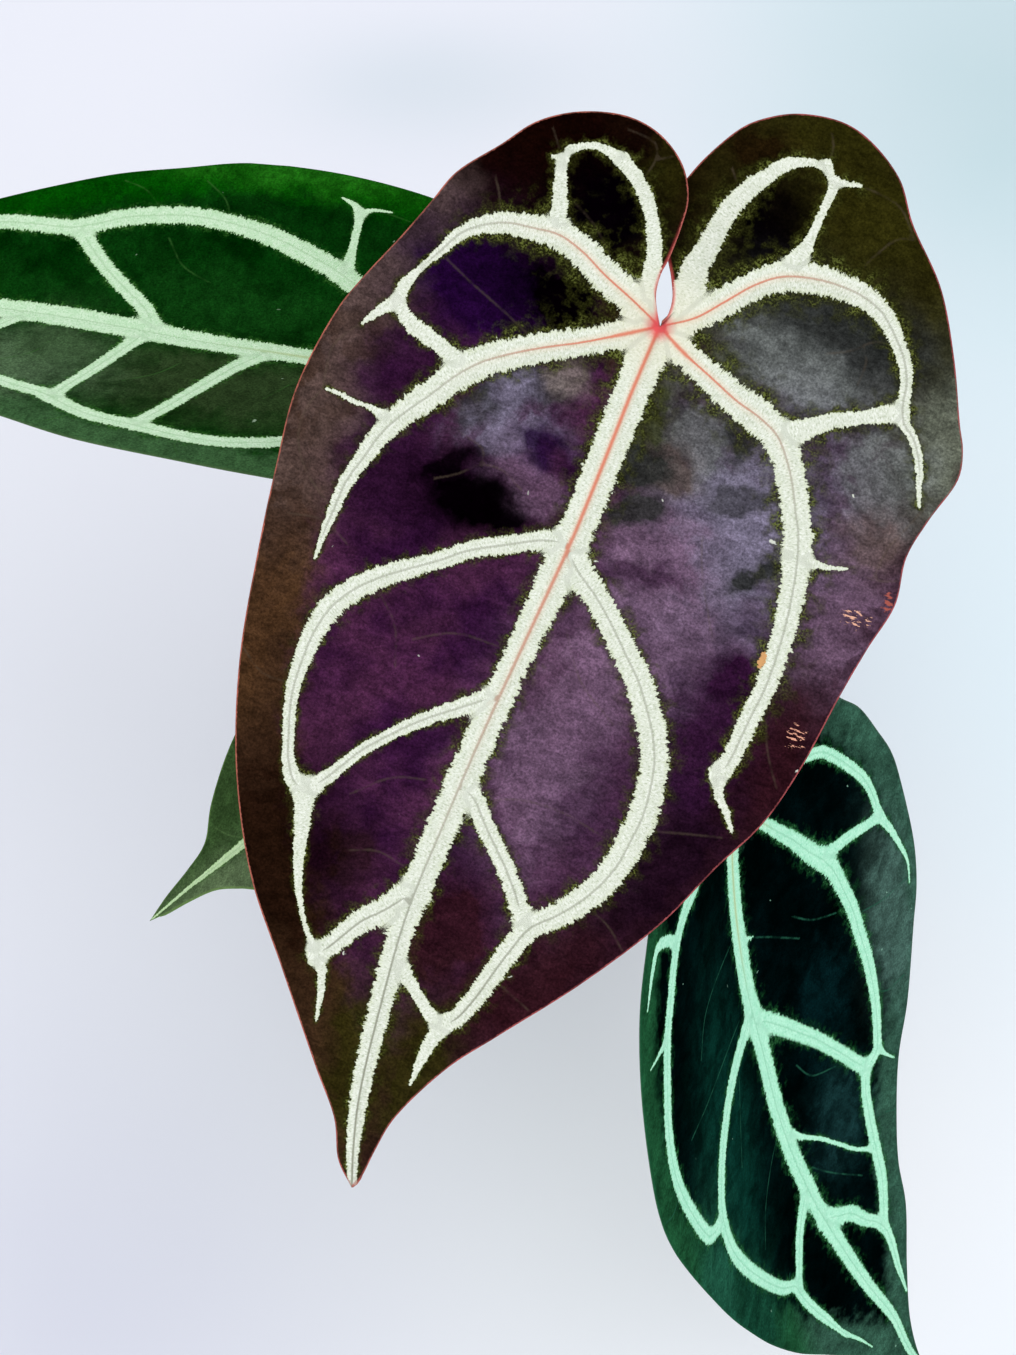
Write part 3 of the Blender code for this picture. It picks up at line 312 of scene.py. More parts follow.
            ((3.4, 3.2, 2.4, 0.6), 1, [(0, 0), (-10, -12), (-20, -18), (-32, -18), (-42, -12)]),
        ],
        "threads": [
            [(-3, 32), (-10, 32), (-30, 36), (-36, 44)], [(-8, 54), (-35, 57), (-48, 57)],
            [(5, 98), (2, 100), (-4, 106), (-10, 113), (-14, 122)], [(2, 37), (10, 42), (22, 50)],
            [(-58, 62), (-64, 64), (-69, 62)], [(-36, 84), (-46, 92), (-50, 100)],
            [(-32, 106), (-38, 110), (-42, 116)],
            [(50, 84), (56, 88), (64, 88)], [(14, 84), (20, 92), (30, 96)],
            [(14, 118), (22, 126), (34, 136)],
            [(48, 58), (58, 60), (70, 60)], [(42, 122), (48, 124), (52, 126)],
            [(-12, 62), (-16, 76), (-20, 90)],
            [(-2, 140), (-8, 148), (-14, 154)], [(20, 42), (28, 48), (38, 52)]],
    },
    "leaf_small": {
        "at": (-24.1, -66.3, 252.7), "heading": 213.2, "decline": 19.2, "roll": 25.5,
        "length": 117.0, "arch": 0.044, "lobe": 0.08, "keel": 0.156, "twist": 0.031,
        "dish": 0.0, "droop": 0.0, "lap": 0.0, "wave": 0.6, "wavelength": 34.0,
        "grid": 1.1, "quilt": 0.35,
        "left": [
            (-1.5, -7), (-4, -14), (-8, -20), (-16, -24), (-25, -20), (-33, -10), (-38, 5),
            (-40, 20), (-40, 38), (-37.5, 55), (-32, 70), (-26, 80), (-16, 90.5), (-7.5, 96.5),
            (-4.8, 103), (-2.6, 111)],
        "right": [
            (1.5, -7), (4, -14), (9, -20), (17, -23), (25, -19), (33, -9), (38, 5), (39.5, 20),
            (38.5, 38), (35, 55), (29, 71), (22, 84), (13, 92), (7, 98.5), (3.8, 106),
            (2, 112)],
        "tip": (0, 117),
        "midrib": [(0.3, 20), (0.6, 45), (1, 70), (1, 90), (0.2, 105)],
        "midrib_width": (3.6, 4.0, 4.2, 4.2, 4.0, 3.8, 3.5, 2.4, 1.0, 0.3),
        "veins": [
            ((3.0, 3.0, 2.8, 2.6, 2.0, 0.8), 1,
             [(0, 0), (-12, 4), (-22, 14), (-28, 28), (-29, 44), (-24, 62), (-14, 78)]),
            ((3.0, 3.0, 2.8, 2.6, 2.0, 0.8), 1,
             [(0, 0), (12, 4), (22, 14), (28, 28), (28, 44), (23, 62), (13, 80)]),
            ((2.6, 2.2, 2.0), 0, [(0.6, 34), (-12, 42), (-27, 52)]),
            ((2.6, 2.2, 2.0), 0, [(0.6, 36), (12, 44), (26, 52)]),
            ((2.4, 2.0, 1.8), 0, [(1, 62), (-10, 70), (-18, 74)]),
            ((2.4, 2.0, 1.8), 0, [(1, 64), (10, 71), (17, 76)]),
            ((2.8, 2.6, 2.0, 0.6), 1, [(0, 0), (-9, -7), (-18, -10), (-27, -4), (-32, 8)]),
            ((2.8, 2.6, 2.0, 0.6), 1, [(0, 0), (9, -7), (18, -10), (27, -4), (32, 8)]),
        ],
        "threads": [
            [(1, 84), (7, 88), (12, 90)], [(0.5, 86), (-5, 90), (-9, 92)], [(-27, 50), (-32, 56)],
            [(26, 50), (32, 54)]],
    },
}

# A stalk is its leaf, the bearing of its foot in degrees, two points on its way, and how
# red it turns under the blade. A root is its bearing, height, length and droop, and a
# sheath its bearing, half its span in degrees and its height.
STALKS = {
    "petiole_main": ("leaf_main", 62.0, [(5, 6, 165), (8, -8, 235)], 0.75),
    "petiole_left": ("leaf_left", 162.0, [(-12, 0, 160), (-26, -8, 212)], 0.15),
    "petiole_right": ("leaf_right", 318.0, [(6, -22, 160), (8, -66, 206)], 0.15),
    "petiole_small": ("leaf_small", 240.0, [(-9, -17, 160), (-17, -34, 203)], 0.15),
}
ROOTS = [(20, 104, 11, 1.5), (95, 103, 13, 1.0), (150, 106, 9, 2.0), (205, 103, 12, 1.5),
         (275, 106, 13, 4.0), (335, 103, 10, 1.0)]
SHEATHS = {"cataphyll_back": (108.0, 40.0, 40.0), "cataphyll_side": (12.0, 34.0, 31.0)}
SHEATH_FOOT = 109.5


# Meshes and lines

def added(name, data):
    """A new object of the scene."""
    item = bpy.data.objects.new(name, data)
    bpy.context.scene.collection.objects.link(item)
    return item


def add_object(name, points, faces, fields=None, smooth=True):
    """A mesh object from points in millimetres, with named values at its points."""
    mesh = bpy.data.meshes.new(name)
    mesh.from_pydata((np.asarray(points, dtype=float) * MM).tolist(), [], faces)
    for key, values in (fields or {}).items():
        values = np.asarray(values, dtype=np.float32)
        kind, part = ("FLOAT_VECTOR", "vector") if values.ndim == 2 else ("FLOAT", "value")
        mesh.attributes.new(key, kind, "POINT").data.foreach_set(part, values.ravel())
    if smooth:
        mesh.shade_smooth()
    mesh.update()
    return added(name, mesh)


def stand_for(item, node, look):
    item.data.materials.clear()
    item.data.materials.append(look)
    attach(item, "root")
    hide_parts(node)


def ring(radius, z, sides):
    """Points of a level circle round the z axis."""
    turns = (2 * math.pi * j / sides for j in range(sides))
    return [(radius * math.cos(turn), radius * math.sin(turn), z) for turn in turns]


def ring_faces(first, rings, sides, flip=False):
    """Quads between rings that follow one another from the first point's number."""
    faces = []
    for start in range(first, first + (rings - 1) * sides, sides):
        for j in range(sides):
            a, b = start + j, start + (j + 1) % sides
            faces.append((a, a + sides, b + sides, b) if flip else (a, b, b + sides, a + sides))
    return faces


def turned_faces(rings, sides):
    """Faces of a turned solid: a first point, rings, and a last point."""
    last = 1 + (rings - 1) * sides
    steps = [(j, (j + 1) % sides) for j in range(sides)]
    faces = [(0, 1 + j, 1 + after) for j, after in steps]
    faces += ring_faces(1, rings, sides, flip=True)
    return faces + [(last + j, last + sides, last + after) for j, after in steps]


def smooth_line(points, parts=12):
    """A smooth curve through the points, each stretch cut into parts."""
    p = np.asarray(points, dtype=float)
    ends = np.vstack([2 * p[0] - p[1], p, 2 * p[-1] - p[-2]])
    share = (np.arange(parts) / parts)[:, None]
    line = []
    for a, b, c, d in zip(ends, ends[1:], ends[2:], ends[3:]):
        t1 = math.sqrt(np.linalg.norm(b - a)) or 1.0
        t2 = t1 + (math.sqrt(np.linalg.norm(c - b)) or 1.0)
        t3 = t2 + (math.sqrt(np.linalg.norm(d - c)) or 1.0)
        t = t1 + (t2 - t1) * share
        ab = a + (b - a) * t / t1
        bc = b + (c - b) * (t - t1) / (t2 - t1)
        cd = c + (d - c) * (t - t2) / (t3 - t2)
        left = ab + (bc - ab) * t / t2
        right = bc + (cd - bc) * (t - t1) / (t3 - t1)
        line.append(left + (right - left) * (t - t1) / (t2 - t1))
    return np.vstack(line + [p[-1:]])


def travel_along(line):
    """How far along a line each of its points lies."""
    return np.concatenate([[0.0], np.cumsum(np.linalg.norm(np.diff(line, axis=0), axis=1))])


def resampled(line, step):
    """A line's course again, in even steps of about the given length."""
    run = travel_along(line)
    count = max(2, int(round(run[-1] / step)) + 1)
    at = np.linspace(0.0, run[-1], count)
    return np.stack([np.interp(at, run, line[:, k]) for k in range(line.shape[1])], axis=1)


def along_line(points, line, widths=None, reach=FAR):
    """Distance, signed distance, travel and width of a line near each point."""
    far = np.full(len(points), reach)
    signed, travel, width = far.copy(), np.zeros(len(points)), np.zeros(len(points))
    low, high = line.min(axis=0) - reach, line.max(axis=0) + reach
    near = np.flatnonzero(np.all((points > low) & (points < high), axis=1))
    a, run = line[:-1], np.diff(line, axis=0)
    length, start = np.linalg.norm(run, axis=1), travel_along(line)
    block = 4000
    for first in range(0, len(near), block):
        pick = near[first:first + block]
        rel = points[pick][:, None, :] - a[None]
        t = np.clip((rel * run).sum(axis=2) / length ** 2, 0.0, 1.0)
        off = rel - t[..., None] * run
        gap = np.hypot(off[..., 0], off[..., 1])
        best = gap.argmin(axis=1)
        rows = np.arange(len(pick))
        far[pick] = np.minimum(gap[rows, best], reach)
        side = run[best, 0] * rel[rows, best, 1] - run[best, 1] * rel[rows, best, 0]
        signed[pick] = np.where(side < 0, -1.0, 1.0) * far[pick]
        travel[pick] = start[best] + t[rows, best] * length[best]
    if widths is not None:
        width = np.interp(travel / start[-1], np.linspace(0, 1, len(widths)), widths)
    return far, signed, travel, width


def inside(loop, points):
    """Which of the points a closed loop surrounds."""
    hit = np.zeros(len(points), dtype=bool)
    x, y = points[:, 0], points[:, 1]
    for a, b in zip(loop, np.roll(loop, -1, axis=0)):
        if a[1] == b[1]:
            continue
        crosses = (a[1] > y) != (b[1] > y)
        hit ^= crosses & (x < a[0] + (b[0] - a[0]) * (y - a[1]) / (b[1] - a[1]))
    return hit


def least_gap(points, others):
    """Each point's distance to the nearest of the others."""
    best = np.full(len(points), 1e9)
    block = 300
    for first in range(0, len(others), block):
        rel = points[:, None, :] - others[first:first + block][None]
        best = np.minimum(best, (rel ** 2).sum(axis=2).min(axis=1))
    return np.sqrt(best)


def waves(points, scale, seed):
    """Smooth noise over flat points, about -1 to 1, with features of the given size."""
    return np.array([noise.noise(Vector((x / scale, y / scale, seed))) for x, y in points[:, :2]])


# Leaf blades

def side_of(line, midrib):
    """-1 where the middle of a line lies left of the midrib, 1 where it doesn't."""
    middle = line[len(line) // 2]
    return -1 if middle[0] < np.interp(middle[1], midrib[:, 1], midrib[:, 0]) else 1


def half_blade(outline, midrib, veins, step):
    """Flat points and triangles of one half, with edges along its veins."""
    loop = np.vstack([outline, midrib[-2:0:-1]])
    count = len(loop)
    points = loop.tolist()
    edges = [(i, (i + 1) % count) for i in range(count)]
    for line in veins:
        keep = (least_gap(line, loop) > EDGE_GAP * step) & inside(loop, line)
        numbers = []
        nearest = np.linalg.norm(loop - line[0], axis=1)
        if nearest.min() < JOIN_REACH:
            numbers.append(int(nearest.argmin()))
        for point in line[1:][keep[1:]]:
            gap = np.linalg.norm(np.array(points) - point, axis=1)
            if gap.min() < VEIN_GAP * step:
                numbers.append(int(gap.argmin()))
            else:
                points.append(point.tolist())
                numbers.append(len(points) - 1)
        edges += [(a, b) for a, b in zip(numbers, numbers[1:]) if a != b]
    low, high = loop.min(axis=0), loop.max(axis=0)
    grid = []
    for k, y in enumerate(np.arange(low[1], high[1], step * ROW_RISE)):
        row = np.arange(low[0] + (k % 2) * step / 2, high[0], step)
        grid.append(np.column_stack([row, np.full(len(row), y)]))
    grid = np.vstack(grid)
    grid = grid[inside(loop, grid)]
    grid = grid[least_gap(grid, np.array(points)) > GRID_GAP * step]
    flat = delaunay_2d_cdt([Vector(p) for p in np.vstack([points, grid])], edges, [], 1, 1e-5)
    return np.array([tuple(p) for p in flat[0]]), flat[2]


def axes_of(leaf):
    """Directions across a blade, along it and out of its face."""
    heading, decline, roll = (math.radians(leaf[k]) for k in ("heading", "decline", "roll"))
    flat = np.array([math.cos(heading), math.sin(heading), 0.0])
    up = np.array([0.0, 0.0, 1.0])
    along = flat * math.cos(decline) - up * math.sin(decline)
    level_out = flat * math.sin(decline) + up * math.cos(decline)
    level_across = np.cross(level_out, along)
    across = level_across * math.cos(roll) + level_out * math.sin(roll)
    out = level_out * math.cos(roll) - level_across * math.sin(roll)
    return across, along, out


def blade_points(leaf, side, flat, edge, rib, extra):
    """The blade's top: plane, bend, then waves, rib grooves and quilting."""
    u, v = flat[:, 0], flat[:, 1]
    across, along, out = axes_of(leaf)
    s = v / leaf["length"]
    lift = -np.where(s > 0, leaf["arch"], leaf["lobe"]) * leaf["length"] * s * s
    lift += leaf["twist"] * u * s + leaf["keel"] * (np.hypot(u, KEEL_SOFTNESS) - KEEL_SOFTNESS)
    point = (np.array(leaf["at"]) + u[:, None] * across + v[:, None] * along
             + lift[:, None] * out)
    relief = leaf["dish"] * (np.hypot(u, DISH_SOFTNESS) - DISH_SOFTNESS)
    relief -= leaf["droop"] * leaf["length"] * s * s
    phase = 2 * np.pi * (v + HALF_SHIFT * side) / leaf["wavelength"]
    relief += leaf["wave"] * np.exp(-edge / WAVE_FADE) * np.sin(phase)
    relief += extra - RIB_GROOVE * rib
    if leaf["lap"]:
        fade = np.clip((-8.0 - v) / 6.0, 0.0, 1.0) * np.exp(-((u + 4.0) / 9.0) ** 2)
        relief += leaf["lap"] * fade * np.where(side < 0, 1.0, -0.75)
    toward = FACING - point
    return point + toward / np.linalg.norm(toward, axis=1)[:, None] * relief[:, None]


def vein_fields(flat, side, lines, midrib_line, midrib_width):
    """Fields of the silver, its centre lines and the ribs at flat points of a half."""
    total, across, along, rib, tint = (np.zeros(len(flat)) for _ in range(5))
    best = np.full(len(flat), 1e9)
    centre, nearest = np.full(len(flat), FAR), np.full(len(flat), FAR)
    for number, (widths, has_line, line, line_side) in enumerate(
            [(midrib_width, 1, midrib_line, 0)] + lines):
        gap, signed, travel, width = along_line(flat, line, widths)
        if line_side and line_side != side:
            behind = flat[:, 1] < -0.5
            gap, signed = np.where(behind, FAR, gap), np.where(behind, FAR, signed)
        field = gap - width / 2
        total += np.exp(-np.clip(field, -8, 25) / (WEB * np.clip(width / 5.0, 0.35, 1.0)))
        closer = field < best
        best = np.where(closer, field, best)
        across = np.where(closer, signed, across)
        along = np.where(closer, travel + VEIN_SHIFT * number, along)
        rib = np.maximum(rib, np.exp(-(gap / RIB_REACH) ** 2) * np.minimum(width, 5.5) / 5.5)
        if has_line:
            apart = gap + 0.35 * np.clip(1.6 - width, 0.0, 1.0)
            main = float(np.hypot(*line[0]) < 0.5)
            left = travel_along(line)[-1] - travel
            apart += 0.6 * (1.0 - main) * np.exp(-(travel / 1.9) ** 2)
            apart += 0.6 * (widths[-1] > 1.9) * np.exp(-(left / 1.9) ** 2)
            tint = np.where(apart < centre, main, tint)
            centre = np.minimum(centre, apart)
        if max(widths) > 2.2:
            nearest = np.minimum(nearest, gap)
    fields = {"silver": -WEB * np.log(total), "across": across, "along": along,
              "centre": centre, "tint": tint}
    return fields, rib, nearest


def puckers(leaf, flat, edge, rib, thread, nearest):
    """The small relief of a half: quilting between veins, puckers and a rough margin."""
    away = np.linalg.norm(flat, axis=1)
    calm = np.clip(away / 12.0, 0.0, 1.0) * np.clip((leaf["length"] - flat[:, 1]) / 20.0, 0.0, 1.0)
    quilt = leaf["quilt"] * (1.0 - np.exp(-(nearest / 4.5) ** 2)) * np.clip(edge / 6.0, 0.0, 1.0)
    pucker = 0.34 * waves(flat, 13.0, 3.1) + 0.16 * waves(flat, 5.5, 8.4)
    extra = calm * (quilt - 0.35 + pucker * (1.0 - 0.8 * rib))
    extra -= 0.14 * calm * np.exp(-(thread / 1.1) ** 2) * np.clip(edge / 4.0, 0.0, 1.0)
    return extra + 0.22 * np.exp(-edge / 2.5) * waves(flat, 7.0, 14.2)


def leaf_blade(name, leaf):
    """A blade of two halves that share the points of the midrib."""
    step = leaf["grid"]
    start, tip = (0.0, 0.0), leaf["tip"]
    midrib_line = smooth_line([start, *leaf["midrib"], tip])
    midrib = resampled(midrib_line, step)
    outlines = {side: resampled(smooth_line([start, *leaf[key], tip]), step)
                for side, key in ((-1, "left"), (1, "right"))}
    veins = [resampled(smooth_line(course), step) for _, _, course in leaf["veins"]]
    lines = [(widths, has_line, line, side_of(line, midrib))
             for (widths, has_line, _), line in zip(leaf["veins"], veins)]
    threads = [resampled(smooth_line(course), step) for course in leaf["threads"]]
    points, faces, fields, shared = [], [], {}, {}
    for side, outline in outlines.items():
        mine = [line for line in veins + threads if side_of(line, midrib) == side]
        flat, triangles = half_blade(outline, midrib, mine, step)
        values, rib, nearest = vein_fields(flat, side, lines, midrib_line, leaf["midrib_width"])
        thread = np.min([along_line(flat, line, reach=4.0)[0] for line in threads], axis=0)
        margin = along_line(flat, outline)[0]
        edge = np.minimum(margin, along_line(flat, outlines[-side])[0])
        rib = rib * np.clip(edge / 5.0, 0.0, 1.0)
        extra = puckers(leaf, flat, edge, rib, thread, nearest)
        top = blade_points(leaf, side, flat, edge, rib, extra)
        values |= {"margin": margin, "rib": rib, "thread": thread,
                   "spot": np.column_stack([flat, np.full(len(flat), HALF_SHIFT * side)])}
        on_midrib = least_gap(flat, midrib) < 0.02
        numbers, kept = [], []
        for number, (u, v) in enumerate(flat):
            key = (round(float(u), 2), round(float(v), 2))
            if on_midrib[number] and key in shared:
                numbers.append(shared[key])
                continue
            numbers.append(len(points) + len(kept))
            if on_midrib[number]:
                shared[key] = numbers[-1]
            kept.append(number)
        points += top[kept].tolist()
        for key, value in values.items():
            fields.setdefault(key, []).append(value[kept])
        faces += [tuple(numbers[i] for i in reversed(face)) for face in triangles]
    fields = {key: np.concatenate(parts) for key, parts in fields.items()}
    return solid_sheet(name, np.array(points), faces, fields)


def solid_sheet(name, points, faces, fields):
    """Gives a sheet of triangles its thickness, with ribs standing out below."""
    index = np.array(faces)
    a, b, c = (points[index[:, k]] for k in range(3))
    face_normal = np.cross(b - a, c - a)
    normal = np.zeros_like(points)
    for k in range(3):
        np.add.at(normal, index[:, k], face_normal)
    normal /= np.linalg.norm(normal, axis=1)[:, None]
    thick = MARGIN_THICKNESS + BLADE_MORE * np.clip(fields["margin"] / 4.0, 0.0, 1.0)
    thick += RIB_MORE * fields["rib"] ** 2
    below = points - normal * thick[:, None]
    count = len(points)
    pairs = np.concatenate([index[:, [0, 1]], index[:, [1, 2]], index[:, [2, 0]]])
    codes = pairs[:, 0] * count + pairs[:, 1]
    mirrored = pairs[:, 1] * count + pairs[:, 0]
    border = pairs[~np.isin(codes, mirrored)].tolist()
    rim = [(q, p, p + count, q + count) for p, q in border]
    under = [tuple(i + count for i in reversed(face)) for face in faces]
    doubled = {key: np.concatenate([value, value]) for key, value in fields.items()}
    doubled["under"] = np.concatenate([np.zeros(count), np.ones(count)])
    low, high = (np.array(corner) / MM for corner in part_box(name))
    body = np.clip(np.vstack([points, below]), low, high)
    return add_object(name + "_blade", body, faces + rim + under, doubled)


# Materials

def srgb(red, green, blue):
    """A colour as it looks on screen, 0 to 255, as the linear values of a socket."""
    linear = []
    for part in (red, green, blue):
        part /= 255.0
        linear.append(part / 12.92 if part <= 0.04045 else ((part + 0.055) / 1.055) ** 2.4)
    return (*linear, 1.0)


class Graph:
    """Short names for the nodes of one material."""

    def __init__(self, name):
        self.material = bpy.data.materials.new(name)
        self.material.use_nodes = True
        self.tree = self.material.node_tree
        self.shader = self.tree.nodes["Principled BSDF"]

    def node(self, kind, *values, **settings):
        """A node with its settings, whose first sockets take the values."""
        made = self.tree.nodes.new(kind)
        for key, value in settings.items():
            setattr(made, key, value)
        for socket, value in zip(made.inputs, values):
            self.feed(socket, value)
        return made

    def feed(self, socket, value):
        if isinstance(value, bpy.types.NodeSocket):
            self.tree.links.new(value, socket)
        else:
            socket.default_value = value

    def value(self, name):
        return self.node("ShaderNodeAttribute", attribute_name=name).outputs["Fac"]

    def vector(self, name):
        return self.node("ShaderNodeAttribute", attribute_name=name).outputs["Vector"]

    def joined(self, x, y, z=0.0):
        return self.node("ShaderNodeCombineXYZ", x, y, z).outputs[0]

    def parts(self, vector):
        return self.node("ShaderNodeSeparateXYZ", vector).outputs

    def math(self, operation, a, b=0.0):
        return self.node("ShaderNodeMath", a, b, operation=operation).outputs[0]

    def sum(self, first, *others):
        for value in others:
            first = self.math("ADD", first, value)
        return first

    def product(self, first, *others):
        for value in others:
            first = self.math("MULTIPLY", first, value)
        return first

    def length(self, x, y):
        return self.math("SQRT", self.sum(self.product(x, x), self.product(y, y)))

    def shaken(self, value, noise, amount):
        """A value moved up and down by a noise about one half."""
        return self.sum(value, self.product(self.math("SUBTRACT", noise, 0.5), amount))

    def level(self, value, low, high, out_low=0.0, out_high=1.0):
        """Runs softly from one level to another while the value goes from low to high."""
        return self.node("ShaderNodeMapRange", value, low, high, out_low, out_high,
                         interpolation_type="SMOOTHSTEP").outputs[0]

    def varied(self, noise, low, high, amount):
        """A factor about 1, less or more by the amount."""
        return self.level(noise, low, high, 1 - amount, 1 + amount)

    def noise(self, vector, scale, detail, roughness=0.5, distortion=0.0, output=0):
        made = self.node("ShaderNodeTexNoise", vector)
        for key, value in (("Scale", scale), ("Detail", detail), ("Roughness", roughness),
                           ("Distortion", distortion)):
            made.inputs[key].default_value = value
        return made.outputs[output]

    def cells(self, vector, scale, output="Distance"):
        made = self.node("ShaderNodeTexVoronoi", vector)
        made.inputs["Scale"].default_value = scale
        return made.outputs[output]

    def mapped(self, vector, scale, turn=0.0, place=(0.0, 0.0, 0.0), kind="POINT"):
        """A vector scaled along its axes and turned about z by some degrees."""
        return self.node("ShaderNodeMapping", vector, place, (0.0, 0.0, math.radians(turn)),
                         scale, vector_type=kind).outputs[0]

    def patch(self, spot, centre, size, turn=0.0):
        """1 at a centre, falling off smoothly over the given half sizes."""
        far = self.mapped(spot, (*size, 1e6), turn, (*centre, 0.0), "TEXTURE")
        square = self.node("ShaderNodeVectorMath", far, far, operation="DOT_PRODUCT")
        return self.math("EXPONENT", self.product(square.outputs["Value"], -1.0))

    def blend(self, factor, a, b):
        made = self.node("ShaderNodeMix", factor, data_type="RGBA")
        self.feed(made.inputs[6], a)
        self.feed(made.inputs[7], b)
        return made.outputs[2]

    def layered(self, colour, *layers):
        """A colour with others laid over it in turn, each by its own factor."""
        for factor, over in layers:
            colour = self.blend(factor, colour, over)
        return colour

    def scaled(self, colour, amount):
        made = self.node("ShaderNodeVectorMath", colour, operation="SCALE")
        self.feed(made.inputs["Scale"], amount)
        return made.outputs[0]

    def bump(self, height, distance, strength):
        made = self.node("ShaderNodeBump", strength, distance)
        self.feed(made.inputs["Height"], height)
        self.feed(self.shader.inputs["Normal"], made.outputs[0])

    def finish(self, colour, roughness, specular):
        self.feed(self.shader.inputs["Base Color"], colour)
        self.feed(self.shader.inputs["Roughness"], roughness)
        self.shader.inputs["Specular IOR Level"].default_value = specular
        return self.material


def leaf_graph(name):
    """A graph with a blade's fields and the noises that its colours share."""
    g = Graph(name)
    g.spot = g.vector("spot")
    g.u, g.v, _ = g.parts(g.spot)
    g.silver, g.margin, g.centre = g.value("silver"), g.value("margin"), g.value("centre")
    g.path = g.joined(g.value("along"), g.value("across"), 1.0)
    g.stalk_gap = g.length(g.u, g.v)
    g.lumps = g.noise(g.spot, 0.42, 2.0)
    g.mottle = g.noise(g.spot, 0.27, 3.0, 0.6)
    g.fine = g.noise(g.spot, 2.3, 2.0, 0.6)
    g.grain = g.noise(g.spot, 1.7, 3.0, 0.7)
    g.hairs = g.noise(g.mapped(g.path, (3.0, 1.5, 9.0)), 1.0, 3.0, 0.6)
    return g


def silver_edge(g, tone):
    """The distance outside the silver's toothed edge, and the reach of its fringe."""
    streaks = g.noise(g.mapped(g.path, (2.3, 0.55, 3.0)), 1.0, 2.0, 0.55)
    notches = g.noise(g.mapped(g.path, (0.72, 0.4, 6.0)), 1.0, 3.0, 0.6)
    push = g.shaken(0.0, streaks, tone["teeth"])
    push = g.shaken(push, notches, tone["drift"])
    push = g.shaken(push, g.fine, 1.1)
    edge = g.math("SUBTRACT", g.silver, g.sum(push, tone["spread"]))
    least, more = tone["fringe_reach"]
    upper = g.level(g.math("SUBTRACT", g.v, g.product(g.u, 0.8)), 64.0, 4.0)
    reach = g.sum(least, g.product(upper, more))
    return edge, g.product(reach, g.level(g.lumps, 0.34, 0.68, 0.35, 1.7))


def cell_colour(g, tone, astray):
    """The dark cells' colour: border, lobes and patches, some of them painted sheen, under a grainy shade
    with a crumpled pattern of painted sheen.
    """
    broad = g.noise(g.spot, 0.055, 3.0, 0.55)
    cloud = g.noise(g.spot, 0.13, 5.0, 0.62, 0.5)
    # Painted sheen: a slanted crumpled noise that makes the cells lighter and darker in streaks, as
    # wrinkled velvet catches light.
    crumpled_sheen = g.noise(g.mapped(g.spot, (0.22, 0.40, 1.0), 38.0), 1.0, 5.0, 0.72, 0.8)
    full, gone = tone["border"]
    at_border = g.level(g.shaken(g.margin, g.mottle, 12.0), gone, full)
    colour = g.layered(
        tone["cell"],
        (g.level(broad, 0.36, 0.64), tone["cell_dark"]),
        (g.product(at_border, tone["border_amount"]),
         g.blend(g.level(g.u, -8.0, 8.0), tone["border_left"], tone["border_right"])),
        (g.product(g.level(g.v, 2.0, -12.0), tone["lobe_amount"]),
         g.blend(g.level(g.u, -9.0, 3.0), tone["lobe_left"], tone["lobe_right"])))
    for patch_colour, (u, v), size, amount, turn, ragged in tone["zones"]:
        broken = g.level(cloud, 0.40, 0.60, 1.5 * (1 - ragged), 1.5 * (1 + 0.6 * ragged))
        zone = g.product(g.patch(astray, (u + STRAY / 2, v + STRAY / 2), size, turn), broken)
        colour = g.blend(g.math("MINIMUM", zone, amount), colour, patch_colour)
    shade = g.product(
        g.varied(g.grain, 0.25, 0.75, tone["grain"]), g.varied(cloud, 0.3, 0.7, tone["cloud"]),
        g.varied(g.fine, 0.2, 0.8, 0.3), g.varied(crumpled_sheen, 0.32, 0.68, tone["crumpled_sheen"]))
    return g.scaled(colour, shade)


def cells_between(g, tone, edge, reach, thread):
    """The dark cells with their thin side veins, olive fringe, sparks and specks."""
    drift = g.noise(g.spot, 0.15, 4.0, output="Color")
    astray = g.node("ShaderNodeVectorMath", drift, (STRAY, STRAY, 0.0), g.spot,
                    operation="MULTIPLY_ADD").outputs[0]
    near_silver = g.level(g.math("DIVIDE", edge, reach), 1.0, 0.03)
    fringe = g.product(near_silver, g.level(g.mottle, 0.34, 0.60, *tone["fringe"]),
                       g.level(g.grain, 0.25, 0.6, 0.55, 1.0))
    fringe_shade = g.level(g.fine, 0.25, 0.75, 0.3, 1.9)
    spark = g.product(g.level(edge, g.product(reach, 0.45), 0.0), g.level(g.fine, 0.47, 0.60),
                      g.level(g.mottle, 0.42, 0.60, 0.1, 1.0), tone["spark"])
    chosen = g.level(g.cells(astray, 0.20, "Color"), 0.76, 0.78)
    specks = g.product(g.level(g.cells(astray, 0.20), 0.085, 0.04), chosen, tone["specks"])
    return g.layered(
        cell_colour(g, tone, astray),
        (g.product(thread, tone["thread_amount"]), tone["thread_colour"]),
        (fringe, g.scaled(tone["fringe_colour"][:3], fringe_shade)),
        (spark, tone["spark_colour"]),
        (specks, tone["silver"]))


def centre_line(g, tone):
    """The thin line along a vein's middle, and how warm its colour is."""
    travelled = g.length(g.product(g.u, 1.6), g.product(g.v, 0.52))
    warm = g.product(g.level(travelled, tone["warm_reach"], 14.0),
                     g.level(g.value("tint"), 0.35, 0.65))
    on_midrib = g.product(g.level(g.math("ABSOLUTE", g.u), 10.0, 6.0), g.level(g.v, -1.0, 3.0),
                          warm)
    line = g.level(g.shaken(g.centre, g.fine, 0.22), g.sum(0.34, g.product(on_midrib, 0.36)), 0.05)
    return line, warm


